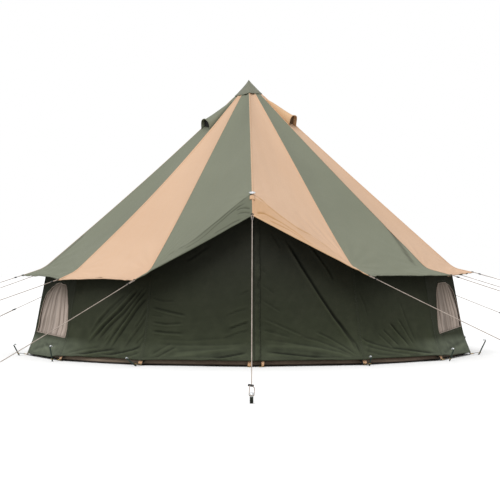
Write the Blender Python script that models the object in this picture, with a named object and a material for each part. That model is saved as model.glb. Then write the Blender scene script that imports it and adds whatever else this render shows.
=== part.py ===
"""Bell tent: a 14-sided cotton canopy on a centre pole, with an A-frame door, walls, groundsheet and guys."""

import math

import bmesh
import bpy
from mathutils import Matrix, Vector

# Metres, +Z up, ground at z = 0, door towards -Y. A side is counted from the door round to the back.
SIDES = 14
STEP = 2 * math.pi / SIDES
CLEAR = 0.0003  # gap between neighbouring pieces

APEX_Z = 2.572
KNEE_R = 1.92  # where the roof folds over the top of the wall
KNEE_Z = 0.80
PEAK_R = 1.90  # the same fold over the door
PEAK_Z = 1.376
TOP_R = 0.03  # the gores stop this far from the axis, round the pole's spike
ROOF_DROP = 0.011  # roof thickness measured straight down

# Outer corner of the hem at each seam, as radius and height: door, then the seams round to the back.
HEM_TIPS = ((2.09, 1.187), (2.22, 0.690), (2.13, 0.710), (2.09, 0.750))
HEM_MID_R = 1.97  # the hem's edge is drawn in between two seams
HEM_MID_Z = 0.70
HEM_COLUMNS = 6

WALL_THICK = 0.008
WALL_TOP_R = 1.88
WALL_BEND_R = 2.00  # below this the wall flares out as a skirt
WALL_BEND_Z = 0.18
SKIRT_R = 2.07
SKIRT_Z = 0.045
DOOR_SPLIT_X = 0.040  # the zip runs down here, right of the middle

TUB_R = 1.9915
TUB_HEIGHT = 0.18
TUB_THICK = 0.008

WINDOW_WIDTH = 0.74  # at its foot; the sides lean in to WINDOW_WAIST, where the arch starts
WINDOW_WAIST = 0.67
WINDOW_FOOT = 0.035  # above the skirt bend, along the wall
WINDOW_SIDE = 0.245
WINDOW_RISE = 0.20
WINDOW_ARCH_STEPS = 12
WINDOW_PANELS = (2, 4)
MESH_THICK = 0.003
CUT_DEPTH = 0.05  # the window's cutter reaches this far on either side of the wall's face

VENT_PANELS = (2, 4)
VENT_TOP = 0.19
VENT_FOOT = 0.455
VENT_MOUTH = 0.478
VENT_HALF = 0.092
VENT_HEIGHT = 0.088
VENT_NARROW = 0.012  # half width and height at the upper end
VENT_THICK = 0.004
VENT_ROWS = 3
VENT_COLUMNS = 8

CAP_R = 0.122
CAP_THICK = 0.009

POLE_R = 0.016
FOOT_R = 0.045
FOOT_HEIGHT = 0.012
SPIKE_R = 0.006
SPIKE_SEAT = 0.06  # the tube ends this far below the tent's point
SPIKE_SUNK = 0.02

FRAME_R = 0.0125
FRAME_FOOT_X = 0.60
FRAME_TOP_X = 0.06
FRAME_Y = -1.80
FRAME_TOP_Z = 1.33
FRAME_HEEL = 0.04  # the foot stands upright this far
FRAME_BEND = 0.03  # how far the bend's ends lie below its top

ROPE_R = 0.004
STRAP_WIDTH = 0.03
STRAP_THICK = 0.004
STRAP_REACH = 2.16  # the straps that the corner pegs hold end at this radius
BASE_PEG_R = 0.006
BASE_PEG_HEIGHT = 0.14
BASE_PEG_LEAN = 0.5
DOOR_STRAPS = (-0.031, 0.074)  # two short loops on either side of the door's middle
DOOR_STRAP_REACH = 2.03

PEG_R = 0.011
PEG_HEIGHT = 0.065
PEG_LEAN = 0.45  # how far the top leans out for each metre of height
ROPE_ON_PEG = 0.048
SLIDER = (0.009, 0.013, 0.05)
SLIDER_BACK = (0.12, 0.25, 0.95)  # from the peg, along the rope: at the door, its corners and the other seams
# Radius of each seam's peg, by its count from the door; they were pushed in by eye, so the sides differ.
GUY_REACH = {0: 5.02, 1: 4.75, 2: 4.55, 3: 4.60, 4: 4.60, 5: 4.60, 6: 4.50, 7: 4.60}
GUY_REACH |= {-1: 4.30, -2: 4.25, -3: 4.25, -4: 4.20, -5: 4.15, -6: 4.50}
FRONT_PEG_TURN = math.radians(-0.78)  # the door's peg stands a little to the left of the middle

GREEN = (0.245, 0.262, 0.196, 1)
TAN = (0.745, 0.514, 0.352, 1)
OLIVE = (0.040, 0.052, 0.028, 1)
BEIGE = (0.35, 0.27, 0.23, 1)
BROWN = (0.19, 0.13, 0.08, 1)
STEEL = (0.55, 0.55, 0.56, 1)
CORD = (0.58, 0.50, 0.44, 1)


def direction(angle):
    """Outwards in plan; angle 0 is the door, and it grows towards +X."""
    return Vector((math.sin(angle), -math.cos(angle), 0))


def at(angle, radius, height):
    return direction(angle) * radius + Vector((0, 0, height))


def material(name, colour, roughness, metallic=0.0):
    made = bpy.data.materials.get(name) or bpy.data.materials.new(name)
    made.use_nodes = True
    shader = made.node_tree.nodes["Principled BSDF"]
    shader.inputs["Base Color"].default_value = colour
    shader.inputs["Roughness"].default_value = roughness
    shader.inputs["Metallic"].default_value = metallic
    made.diffuse_color = colour
    return made


def add_object(name, bm, finish, collection):
    bmesh.ops.recalc_face_normals(bm, faces=bm.faces[:])
    mesh = bpy.data.meshes.new(name)
    bm.to_mesh(mesh)
    bm.free()
    made = bpy.data.objects.new(name, mesh)
    collection.objects.link(made)
    mesh.materials.append(finish)
    return made


def add_helper(name, bm):
    helper = add_object(name, bm, material("helper", STEEL, 0.5), helpers)
    helper.hide_render = True
    helper.display_type = "WIRE"
    return helper


def add_boolean(made, helper, operation):
    step = made.modifiers.new(helper.name, "BOOLEAN")
    step.operation = operation
    step.object = helper
    step.solver = "EXACT"


def slab(outer, inner):
    """A closed piece of cloth between two grids of points, rows by columns."""
    bm = bmesh.new()
    sides = []
    for grid in (outer, inner):
        sides.append([[bm.verts.new(point) for point in row] for row in grid])
    rows = len(outer)
    columns = len(outer[0])
    for side in sides:
        for row in range(rows - 1):
            for column in range(columns - 1):
                bm.faces.new(
                    (
                        side[row][column],
                        side[row][column + 1],
                        side[row + 1][column + 1],
                        side[row + 1][column],
                    )
                )
    top, bottom = sides
    for column in range(columns - 1):
        for row in (0, rows - 1):
            bm.faces.new(
                (top[row][column], top[row][column + 1], bottom[row][column + 1], bottom[row][column])
            )
    for row in range(rows - 1):
        for column in (0, columns - 1):
            bm.faces.new(
                (top[row][column], top[row + 1][column], bottom[row + 1][column], bottom[row][column])
            )
    return bm


def drawn_in(row, amount):
    """The row of points with its two ends moved this far towards each other."""
    points = [point.copy() for point in row]
    along = (points[-1] - points[0]).normalized()
    points[0] += along * amount
    points[-1] -= along * amount
    return points


def seam_foot(seam):
    """Where the roof folds at this seam, and the outer corner of its hem."""
    count = abs(seam)
    tip_r, tip_z = HEM_TIPS[min(count, len(HEM_TIPS) - 1)]
    if count == 0:
        return (PEAK_R, PEAK_Z), (tip_r, tip_z)
    return (KNEE_R, KNEE_Z), (tip_r, tip_z)


def roof_slope(seam):
    knee_r, knee_z = seam_foot(seam)[0]
    return (APEX_Z - knee_z) / knee_r


def seam_point(seam, radius):
    return at(seam * STEP, radius, APEX_Z - roof_slope(seam) * radius)


def roof_height(panel_side, panel, point):
    """Height of the outer roof plane of a panel over a point in plan."""
    first = seam_point(panel_side * panel, 1.0)
    second = seam_point(panel_side * (panel + 1), 1.0)
    apex = Vector((0, 0, APEX_Z))
    normal = (first - apex).cross(second - apex)
    return APEX_Z - (normal.x * point.x + normal.y * point.y) / normal.z


def blend(first, second, share):
    return first.lerp(second, share)


def roof_panel(side, panel):
    """One gore from the pole to the fold, and the strip of hem beyond the fold."""
    seams = (side * panel, side * (panel + 1))
    shares = [column / HEM_COLUMNS for column in range(HEM_COLUMNS + 1)]
    top = [seam_point(seam, TOP_R) for seam in seams]
    folds = [at(seam * STEP, *seam_foot(seam)[0]) for seam in seams]
    tips = [at(seam * STEP, *seam_foot(seam)[1]) for seam in seams]
    straight_mid = blend(tips[0], tips[1], 0.5)
    if panel == 0:
        hem_mid = straight_mid
    else:
        hem_mid = at(side * (panel + 0.5) * STEP, HEM_MID_R, HEM_MID_Z)
    rows = [[blend(*top, share) for share in shares], [blend(*folds, share) for share in shares]]
    hem = []
    for share in shares:
        drawn = 4 * share * (1 - share)
        hem.append(blend(*tips, share) + (hem_mid - straight_mid) * drawn)
    rows.append(hem)
    outer = [drawn_in(row, CLEAR / 2) for row in rows]
    down = Vector((0, 0, ROOF_DROP))
    inner = [[point - down for point in row] for row in outer]
    name = f"roof_panel_{'right' if side > 0 else 'left'}_{panel + 1}"
    tan = (panel % 2 == 0) == (side > 0)
    finish = material("roof_tan", TAN, 0.85) if tan else material("roof_green", GREEN, 0.85)
    return add_object(name, slab(outer, inner), finish, tent)


def wall_column(side, panel, share):
    """Outer face of the wall at this share of the panel, from the roof down to the skirt's edge."""
    seams = (side * panel * STEP, side * (panel + 1) * STEP)
    top = blend(at(seams[0], WALL_TOP_R, 0), at(seams[1], WALL_TOP_R, 0), share)
    bend = blend(at(seams[0], WALL_BEND_R, WALL_BEND_Z), at(seams[1], WALL_BEND_R, WALL_BEND_Z), share)
    skirt = blend(at(seams[0], SKIRT_R, SKIRT_Z), at(seams[1], SKIRT_R, SKIRT_Z), share)
    return [top, bend, skirt]


def inwards_at(place):
    """The way in from the outer face, mitred where the face lies on a seam."""
    mid = place.copy()
    mid.z = 0
    return -mid.normalized() * WALL_THICK


def wall_piece(name, places, finish, under):
    """Wall cloth through (side, panel, share) places; its top follows the roof from below."""
    columns = [wall_column(*place) for place in places]
    outer = [[column[row] for column in columns] for row in range(3)]
    inner = [[point + inwards_at(point) for point in row] for row in outer]
    outer = [drawn_in(row, CLEAR / 2) for row in outer]
    inner = [drawn_in(row, CLEAR / 2) for row in inner]
    for grid in (outer, inner):
        for place, point in zip(places, grid[0]):
            point.z = roof_height(place[0], place[1], point) - ROOF_DROP - under
    return add_object(name, slab(outer, inner), finish, tent)


def panel_frame(side, panel):
    """Foot of the flat part of a wall panel, with its directions along, up and out."""
    columns = [wall_column(side, panel, share) for share in (0.0, 1.0)]
    foot = blend(columns[0][1], columns[1][1], 0.5)
    top = blend(columns[0][0], columns[1][0], 0.5)
    top.z = KNEE_Z
    along = (columns[1][1] - columns[0][1]).normalized()
    up = (top - foot).normalized()
    out = along.cross(up).normalized()
    if out.dot(direction(side * (panel + 0.5) * STEP)) < 0:
        out = -out
    return foot, along, up, out


def window_solid(frame, smaller, back, front):
    """An arched prism on a wall panel: sides that lean in a little, then a half ellipse."""
    foot, along, up, out = frame
    half = WINDOW_WIDTH / 2 - smaller
    waist = WINDOW_WAIST / 2 - smaller
    outline = [(-half, WINDOW_FOOT + smaller), (half, WINDOW_FOOT + smaller)]
    for step in range(WINDOW_ARCH_STEPS + 1):
        turn = math.pi * step / WINDOW_ARCH_STEPS
        lift = WINDOW_FOOT + WINDOW_SIDE + (WINDOW_RISE - smaller) * math.sin(turn)
        outline.append((waist * math.cos(turn), lift))
    bm = bmesh.new()
    rings = []
    for depth in (back, front):
        rings.append([bm.verts.new(foot + along * x + up * y + out * depth) for x, y in outline])
    bm.faces.new(rings[0])
    bm.faces.new(rings[1])
    for corner in range(len(outline)):
        following = (corner + 1) % len(outline)
        bm.faces.new((rings[0][corner], rings[0][following], rings[1][following], rings[1][corner]))
    return bm


def vent_hood(side, panel):
    """Half a cone of cloth on the roof: narrow at the top, an open arch at its lower end."""
    middle = direction(side * (panel + 0.5) * STEP)
    aside = Vector((-middle.y, middle.x, 0))
    layers = []
    for thinner in (0, VENT_THICK):
        rows = []
        for row in range(VENT_ROWS + 1):
            share = row / VENT_ROWS
            half = VENT_NARROW + (VENT_HALF - VENT_NARROW) * share - thinner
            rise = (VENT_NARROW + (VENT_HEIGHT - VENT_NARROW) * share) - thinner
            points = []
            for column in range(VENT_COLUMNS + 1):
                turn = math.pi * column / VENT_COLUMNS
                lean = (VENT_MOUTH - VENT_FOOT) * math.sin(turn)
                out = VENT_TOP + (VENT_FOOT + lean - VENT_TOP) * share
                place = middle * out + aside * half * math.cos(turn)
                height = roof_height(side, panel, place) + CLEAR + rise * math.sin(turn)
                points.append(Vector((place.x, place.y, height)))
            rows.append(points)
        layers.append(rows)
    tan = (panel % 2 == 0) == (side > 0)
    finish = material("roof_tan", TAN, 0.85) if tan else material("roof_green", GREEN, 0.85)
    rear = "rear" if panel > 3 else "front"
    name = f"vent_hood_{'right' if side > 0 else 'left'}_{rear}"
    return add_object(name, slab(*layers), finish, tent)


def add_rod(bm, first, second, radius, segments=8):
    """A round bar between two points, ends square to it."""
    reach = second - first
    turn = reach.to_track_quat("Z", "Y").to_matrix().to_4x4()
    matrix = Matrix.Translation((first + second) / 2) @ turn
    bmesh.ops.create_cone(
        bm,
        cap_ends=True,
        segments=segments,
        radius1=radius,
        radius2=radius,
        depth=reach.length,
        matrix=matrix,
    )


def add_peg(bm, angle, radius, height, thickness, lean_out):
    """A peg from the ground up, leaning outwards; its foot is cut level with the ground."""
    out = direction(angle)
    lean = Matrix.Identity(4)
    lean[0][2] = out.x * lean_out
    lean[1][2] = out.y * lean_out
    upright = Matrix.Translation((0, 0, height / 2))
    bmesh.ops.create_cone(
        bm,
        cap_ends=True,
        segments=10,
        radius1=thickness,
        radius2=thickness,
        depth=height,
        matrix=Matrix.Translation(at(angle, radius, 0)) @ lean @ upright,
    )


def guy_line(name, seam):
    """Rope from the hem's corner to its peg, with a flat slider near the peg; the peg ends at the ground."""
    angle = seam * STEP
    peg_angle = angle if seam else FRONT_PEG_TURN
    tip_r, tip_z = seam_foot(seam)[1]
    reach = GUY_REACH[seam]
    out = direction(angle)
    tip = at(angle, tip_r, tip_z - ROOF_DROP / 2)
    end = at(peg_angle, reach, ROPE_ON_PEG)
    steepness = (tip.z - end.z) / (tip - end).length
    start = tip + out * (ROPE_R * steepness + CLEAR)
    bm = bmesh.new()
    add_rod(bm, start, end, ROPE_R)
    rope = add_object(name, bm, material("guy_rope", CORD, 0.9), tent)

    bm = bmesh.new()
    add_peg(bm, peg_angle, reach - ROPE_ON_PEG * PEG_LEAN, PEG_HEIGHT, PEG_R, PEG_LEAN)
    back = (start - end).normalized()
    turn = back.to_track_quat("Z", "Y").to_matrix().to_4x4()
    place = Matrix.Translation(end + back * SLIDER_BACK[min(abs(seam), 2)]) @ turn
    bmesh.ops.create_cube(bm, size=1.0, matrix=place @ Matrix.Diagonal((*SLIDER, 1)))
    add_boolean(rope, add_helper(name + "_peg", bm), "UNION")
    return rope


for old in list(bpy.data.objects):
    bpy.data.objects.remove(old)
tent = bpy.data.collections.new("bell_tent")
helpers = bpy.data.collections.new("helpers")
for collection in (tent, helpers):
    bpy.context.scene.collection.children.link(collection)
helpers.hide_render = True

# Groundsheet: a 14-sided tray whose rim stands against the inside of the wall.
bm = bmesh.new()
upright = Matrix.Translation((0, 0, TUB_HEIGHT / 2))
bmesh.ops.create_cone(
    bm,
    cap_ends=True,
    segments=SIDES,
    radius1=TUB_R,
    radius2=TUB_R,
    depth=TUB_HEIGHT,
    matrix=upright,
)
groundsheet = add_object("groundsheet", bm, material("groundsheet", BROWN, 0.6), tent)
bm = bmesh.new()
hollow = Matrix.Translation((0, 0, TUB_THICK)) @ upright
bmesh.ops.create_cone(
    bm,
    cap_ends=True,
    segments=SIDES,
    radius1=TUB_R - TUB_THICK,
    radius2=TUB_R - TUB_THICK,
    depth=TUB_HEIGHT,
    matrix=hollow,
)
add_boolean(groundsheet, add_helper("groundsheet_hollow", bm), "DIFFERENCE")

# Straps from the groundsheet's corners to their pegs, and two short ones at the door.
rim = TUB_R - TUB_THICK / 2
for seam in range(-SIDES // 2 + 1, SIDES // 2 + 1):
    if seam == 0:
        continue
    bm = bmesh.new()
    turn = Matrix.Rotation(seam * STEP, 4, "Z")
    place = turn @ Matrix.Translation((0, -(rim + STRAP_REACH) / 2, STRAP_THICK / 2))
    size = Matrix.Diagonal((STRAP_WIDTH, STRAP_REACH - rim, STRAP_THICK, 1))
    bmesh.ops.create_cube(bm, size=1.0, matrix=place @ size)
    add_boolean(groundsheet, add_helper(f"strap_{seam}", bm), "UNION")
    bm = bmesh.new()
    foot = STRAP_REACH - STRAP_WIDTH / 2
    add_peg(bm, seam * STEP, foot, BASE_PEG_HEIGHT, BASE_PEG_R, BASE_PEG_LEAN)
    add_boolean(groundsheet, add_helper(f"base_peg_{seam}", bm), "UNION")
for x in DOOR_STRAPS:
    bm = bmesh.new()
    inner = -rim * math.cos(STEP / 2)
    place = Matrix.Translation((x, (inner - DOOR_STRAP_REACH) / 2, STRAP_THICK / 2))
    size = Matrix.Diagonal((STRAP_WIDTH, DOOR_STRAP_REACH + inner, STRAP_THICK, 1))
    bmesh.ops.create_cube(bm, size=1.0, matrix=place @ size)
    add_boolean(groundsheet, add_helper(f"door_strap_{DOOR_STRAPS.index(x) + 1}", bm), "UNION")

# Centre pole with a foot disc and a spike that stands in the apex cap.
bm = bmesh.new()
floor = TUB_THICK + CLEAR  # what stands on the groundsheet starts here
pole_top = APEX_Z - SPIKE_SEAT
add_rod(bm, Vector((0, 0, floor)), Vector((0, 0, pole_top)), POLE_R, 20)
pole = add_object("centre_pole", bm, material("pole_steel", STEEL, 0.35, 1.0), tent)
bm = bmesh.new()
add_rod(bm, Vector((0, 0, floor)), Vector((0, 0, floor + FOOT_HEIGHT)), FOOT_R, 24)
spike_top = APEX_Z - SPIKE_R * roof_slope(SIDES // 2)
add_rod(bm, Vector((0, 0, pole_top - SPIKE_SUNK)), Vector((0, 0, spike_top)), SPIKE_R, 12)
add_boolean(pole, add_helper("centre_pole_ends", bm), "UNION")

# A-frame that holds the door's peak: one bent tube, standing on the groundsheet.
curve = bpy.data.curves.new("door_frame", "CURVE")
curve.dimensions = "3D"
curve.bevel_depth = FRAME_R
curve.bevel_resolution = 2
curve.use_fill_caps = True
spline = curve.splines.new("POLY")
stations = (
    (-FRAME_FOOT_X, floor),
    (-FRAME_FOOT_X, floor + FRAME_HEEL),
    (-FRAME_TOP_X, FRAME_TOP_Z - FRAME_BEND),
    (-FRAME_TOP_X / 2, FRAME_TOP_Z),
    (FRAME_TOP_X / 2, FRAME_TOP_Z),
    (FRAME_TOP_X, FRAME_TOP_Z - FRAME_BEND),
    (FRAME_FOOT_X, floor + FRAME_HEEL),
    (FRAME_FOOT_X, floor),
)
spline.points.add(len(stations) - 1)
for point, (x, z) in zip(spline.points, stations):
    point.co = (x, FRAME_Y, z, 1)
door_frame = bpy.data.objects.new("door_frame", curve)
tent.objects.link(door_frame)
curve.materials.append(material("pole_steel", STEEL, 0.35, 1.0))

# Roof gores, in turn tan and green from the seam over the door, and the hoods of the four vents.
for side in (1, -1):
    for panel in range(SIDES // 2):
        roof_panel(side, panel)
    for panel in VENT_PANELS:
        vent_hood(side, panel)

# Cap sewn over the point where the gores meet.
bm = bmesh.new()
layers = []
for lift in (CLEAR, CLEAR + CAP_THICK):
    ring = []
    for seam in range(-SIDES // 2 + 1, SIDES // 2 + 1):
        ring.append(bm.verts.new(seam_point(seam, CAP_R) + Vector((0, 0, lift))))
    layers.append((bm.verts.new(Vector((0, 0, APEX_Z + lift))), ring))
for tip, ring in layers:
    for corner in range(SIDES):
        bm.faces.new((tip, ring[corner], ring[(corner + 1) % SIDES]))
for corner in range(SIDES):
    following = (corner + 1) % SIDES
    inner = layers[0][1]
    outer = layers[1][1]
    bm.faces.new((inner[corner], inner[following], outer[following], outer[corner]))
add_object("apex_cap", bm, material("roof_green", GREEN, 0.85), tent)

# Walls: one panel a side between two seams; the window panels are cut through for their mesh.
olive = material("wall_olive", OLIVE, 0.9)
mesh_cloth = material("window_mesh", BEIGE, 0.9)
for side, word in ((1, "right"), (-1, "left")):
    for panel in range(1, 5):
        places = [(side, panel, 0.0), (side, panel, 0.5), (side, panel, 1.0)]
        wall = wall_piece(f"wall_{word}_{panel + 1}", places, olive, CLEAR)
        if panel in WINDOW_PANELS:
            frame = panel_frame(side, panel)
            hole = add_helper(f"window_hole_{word}_{panel}", window_solid(frame, 0, -CUT_DEPTH, CUT_DEPTH))
            add_boolean(wall, hole, "DIFFERENCE")
            front = -(WALL_THICK - MESH_THICK) / 2
            pane = window_solid(frame, CLEAR, front - MESH_THICK, front)
            row = "front" if panel < 3 else "rear"
            add_object(f"window_mesh_{word}_{row}", pane, mesh_cloth, tent)
    places = [(side, 5, 0.0), (side, 5, 1.0), (side, 6, 1.0)]
    wall_piece(f"wall_{word}_back", places, olive, CLEAR)

# Door leaves: the left one reaches past the middle to the zip.
corner = direction(STEP) * WALL_BEND_R
split = DOOR_SPLIT_X / corner.x
places = [(-1, 0, 1.0), (-1, 0, 0.5), (-1, 0, 0.0), (1, 0, split)]
wall_piece("door_left", places, olive, CLEAR)
places = [(1, 0, split), (1, 0, (1 + split) / 2), (1, 0, 1.0)]
wall_piece("door_right", places, olive, CLEAR)

# Guys: one at every seam of the hem.
guy_line("guy_line_front", 0)
guy_line("guy_line_back", SIDES // 2)
for seam in range(1, SIDES // 2):
    guy_line(f"guy_line_right_{seam}", seam)
    guy_line(f"guy_line_left_{seam}", -seam)
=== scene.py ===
import math

import bpy
import numpy as np
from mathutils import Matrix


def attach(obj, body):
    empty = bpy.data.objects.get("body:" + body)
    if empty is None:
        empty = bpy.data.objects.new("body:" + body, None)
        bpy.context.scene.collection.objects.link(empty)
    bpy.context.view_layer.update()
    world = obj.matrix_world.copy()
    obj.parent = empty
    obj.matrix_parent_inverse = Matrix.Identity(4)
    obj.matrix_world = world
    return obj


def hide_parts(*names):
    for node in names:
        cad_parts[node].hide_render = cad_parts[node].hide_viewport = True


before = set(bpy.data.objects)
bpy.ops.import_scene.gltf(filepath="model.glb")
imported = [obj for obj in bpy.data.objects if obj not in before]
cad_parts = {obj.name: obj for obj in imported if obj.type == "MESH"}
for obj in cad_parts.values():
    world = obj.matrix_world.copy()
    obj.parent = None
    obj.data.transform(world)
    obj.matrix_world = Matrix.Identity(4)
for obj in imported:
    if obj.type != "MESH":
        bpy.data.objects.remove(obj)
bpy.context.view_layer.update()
scene = bpy.context.scene

# ---- Camera, floor and light -------------------------------------------------------------------
# A long lens low in front of the door, a white studio floor that runs to the horizon, an even sky
# and one broad soft key from the front left, as in a cut-out picture taken under a bright sky.

CAMERA_DISTANCE = 12.35
CAMERA_HEIGHT = 0.715
CAMERA_TURN = math.radians(-1.0)
FOCAL_PIXELS = 1304.0
PICTURE_PIXELS = 500.0
LENS_CENTRE = (248.75, 276.6)  # where the lens points, in the picture's pixels

camera = bpy.data.objects.new("camera", bpy.data.cameras.new("camera"))
scene.collection.objects.link(camera)
camera.location = (CAMERA_DISTANCE * math.sin(CAMERA_TURN), -CAMERA_DISTANCE * math.cos(CAMERA_TURN), CAMERA_HEIGHT)
camera.rotation_euler = (math.pi / 2, 0, CAMERA_TURN)
camera.data.lens = camera.data.sensor_width * FOCAL_PIXELS / PICTURE_PIXELS
camera.data.shift_x = (PICTURE_PIXELS / 2 - LENS_CENTRE[0]) / PICTURE_PIXELS
camera.data.shift_y = (LENS_CENTRE[1] - PICTURE_PIXELS / 2) / PICTURE_PIXELS
camera.data.clip_end = 2000
scene.camera = camera
scene.view_settings.view_transform = "Standard"

FLOOR_REACH = 900.0
floor_corners = [(x * FLOOR_REACH, y * FLOOR_REACH, 0) for x, y in ((-1, -1), (1, -1), (1, 1), (-1, 1))]
floor_mesh = bpy.data.meshes.new("floor")
floor_mesh.from_pydata(floor_corners, [], [(0, 1, 2, 3)])
floor = bpy.data.objects.new("floor", floor_mesh)
scene.collection.objects.link(floor)
floor_paint = bpy.data.materials.new("studio_floor")
floor_paint.use_nodes = True
floor_shader = floor_paint.node_tree.nodes["Principled BSDF"]
floor_shader.inputs["Base Color"].default_value = (0.96, 0.96, 0.96, 1)
floor_shader.inputs["Roughness"].default_value = 0.9
FLOOR_BOUNCE = 0.42  # a lawn or deck throws back less light on to the walls than a white floor does
floor_duller = floor_paint.node_tree.nodes.new("ShaderNodeBsdfDiffuse")
floor_duller.inputs["Color"].default_value = (FLOOR_BOUNCE, FLOOR_BOUNCE, FLOOR_BOUNCE * 0.93, 1)
floor_seen = floor_paint.node_tree.nodes.new("ShaderNodeLightPath")
floor_mix = floor_paint.node_tree.nodes.new("ShaderNodeMixShader")
floor_links = floor_paint.node_tree.links
floor_links.new(floor_seen.outputs["Is Camera Ray"], floor_mix.inputs[0])
floor_links.new(floor_duller.outputs[0], floor_mix.inputs[1])
floor_links.new(floor_shader.outputs[0], floor_mix.inputs[2])
floor_links.new(floor_mix.outputs[0], floor_paint.node_tree.nodes["Material Output"].inputs["Surface"])
floor_mesh.materials.append(floor_paint)

SKY_LIGHT = 0.74
KEY_LIGHT = 2.0
sky = bpy.data.worlds.new("sky")
sky.use_nodes = True
scene.world = sky
sky_nodes = sky.node_tree.nodes
sky_links = sky.node_tree.links
seen = sky_nodes.new("ShaderNodeLightPath")
level = sky_nodes.new("ShaderNodeMapRange")
level.inputs["To Min"].default_value = SKY_LIGHT
level.inputs["To Max"].default_value = 1.0
sky_links.new(seen.outputs["Is Camera Ray"], level.inputs["Value"])
sky_links.new(level.outputs["Result"], sky_nodes["Background"].inputs["Strength"])
sky_nodes["Background"].inputs["Color"].default_value = (1, 1, 1, 1)

key = bpy.data.objects.new("key", bpy.data.lights.new("key", "SUN"))
scene.collection.objects.link(key)
key.data.energy = KEY_LIGHT
key.data.angle = math.radians(40)
key.rotation_euler = (math.radians(36), math.radians(-11), 0)


# ---- Groundsheet and what pegs it down ----------------------------------------------------------
# A tray of brown coated sheet, its rim standing against the inside of the wall. At every corner a
# webbing loop with a tan tab and a brass ring holds it, pegged with a green steel hook.

SIDES = 14
STEP = 2 * math.pi / SIDES
SEAMS = range(-SIDES // 2 + 1, SIDES // 2 + 1)  # 0 is over the door, and they count up to the right
TUB_THICK = 0.0075
TUB_PROFILE = ((0.004, 2.012), (0.014, 2.027), (0.030, 2.030), (0.050, 2.020), (0.075, 2.008), (0.11, 1.996),
               (0.15, 1.990), (0.178, 1.990))  # height and radius of the rim, from its foot up
TUB_FLOOR_R = 2.005
TUB_LIFT = 0.0006
TUB_COLUMNS = 20  # to a side
RIPPLE_WAVES = 7
UP = np.array([0, 0, 1.0])
RIGHT = np.array([1.0, 0, 0])
RNG = np.random.default_rng(14)


def unit(vectors):
    """These vectors at length 1."""
    return vectors / np.linalg.norm(vectors, axis=-1, keepdims=True)


def around(turn, radius, height):
    """Points at these angles from the door, as an array (..., 3)."""
    turn, radius, height = np.broadcast_arrays(turn, radius, height)
    return np.stack([radius * np.sin(turn), -radius * np.cos(turn), height], axis=-1).astype(float)


def directions(turn):
    """Outward and aside, level, at this angle from the door."""
    return around(turn, 1.0, 0.0), around(turn + math.pi / 2, 1.0, 0.0)


def on_ring(count, radius):
    """Points at seam counts (a whole number at each corner) of a 14-sided ring with this corner radius."""
    share = count - np.floor(count)
    left = around(np.floor(count) * STEP, radius, 0.0)
    right = around((np.floor(count) + 1) * STEP, radius, 0.0)
    return left * (1 - share)[..., None] + right * share[..., None]


def ripples(x, y, seed, wavelength):
    """Smooth uneven waves between about -1 and 1."""
    dice = np.random.default_rng(seed)
    total = np.zeros(np.broadcast(x, y).shape)
    for _ in range(RIPPLE_WAVES):
        turn = dice.uniform(0, 2 * math.pi)
        pitch = wavelength * dice.uniform(0.6, 1.7)
        total += np.sin(2 * math.pi * (x * math.cos(turn) + y * math.sin(turn)) / pitch + dice.uniform(0, 6.3))
    return total / math.sqrt(RIPPLE_WAVES * 2)


def piece(name, points, faces, finish, uv, marks=None):
    """A mesh object from points and faces; uv is one pair for each point, in metres of cloth, and marks are
    named numbers that its material reads, one for each point or one for all."""
    mesh = bpy.data.meshes.new(name)
    mesh.from_pydata(np.asarray(points, float).reshape(-1, 3).tolist(), [], [list(map(int, f)) for f in faces])
    corner = np.empty(len(mesh.loops), np.int32)
    mesh.loops.foreach_get("vertex_index", corner)
    flat = np.asarray(uv, np.float32).reshape(-1, 2)[corner]
    mesh.uv_layers.new(name="cut").data.foreach_set("uv", flat.ravel())
    for mark, values in (marks or {}).items():
        flat = np.ascontiguousarray(np.broadcast_to(np.asarray(values, np.float32).ravel(), len(mesh.vertices)))
        mesh.attributes.new(mark, "FLOAT", "POINT").data.foreach_set("value", flat)
    mesh.polygons.foreach_set("use_smooth", np.full(len(mesh.polygons), True))
    mesh.materials.append(finish)
    made = bpy.data.objects.new(name, mesh)
    scene.collection.objects.link(made)
    return made


def grid_faces(rows, columns, closed=False):
    """Quads of a grid whose rows run down and whose columns run to the right as seen from outside."""
    index = np.arange(rows * columns).reshape(rows, columns)
    if closed:
        index = np.concatenate([index, index[:, :1]], axis=1)
    return np.stack([index[:-1, :-1], index[1:, :-1], index[1:, 1:], index[:-1, 1:]], -1).reshape(-1, 4).tolist()


def outward(points):
    """Unit normals of a grid that runs down and to the right as seen from outside."""
    down = np.gradient(points, axis=0)
    across = np.gradient(points, axis=1)
    normal = np.cross(down, across)
    return normal / np.maximum(np.linalg.norm(normal, axis=-1, keepdims=True), 1e-12)


def settle(made, node_names=()):
    """Applies modifiers, rides the piece on the tent and hides the imported nodes that it stands for."""
    if made.modifiers:
        graph = bpy.context.evaluated_depsgraph_get()
        mesh = bpy.data.meshes.new_from_object(made.evaluated_get(graph), depsgraph=graph)
        made.modifiers.clear()
        made.data = mesh
    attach(made, "root")
    if node_names:
        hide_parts(*node_names)
    return made


def cloth(made, thickness, nodes, cutter=None):
    """Makes a flat mesh a cloth this thick and settles it; a cutter leaves its hole in it."""
    step = made.modifiers.new("thickness", "SOLIDIFY")
    step.thickness = thickness
    step.offset = -1.0
    if cutter:
        hole = made.modifiers.new("window", "BOOLEAN")
        hole.operation = "DIFFERENCE"
        hole.object = cutter
    settle(made, nodes)
    if cutter:
        bpy.data.objects.remove(cutter)


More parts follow.
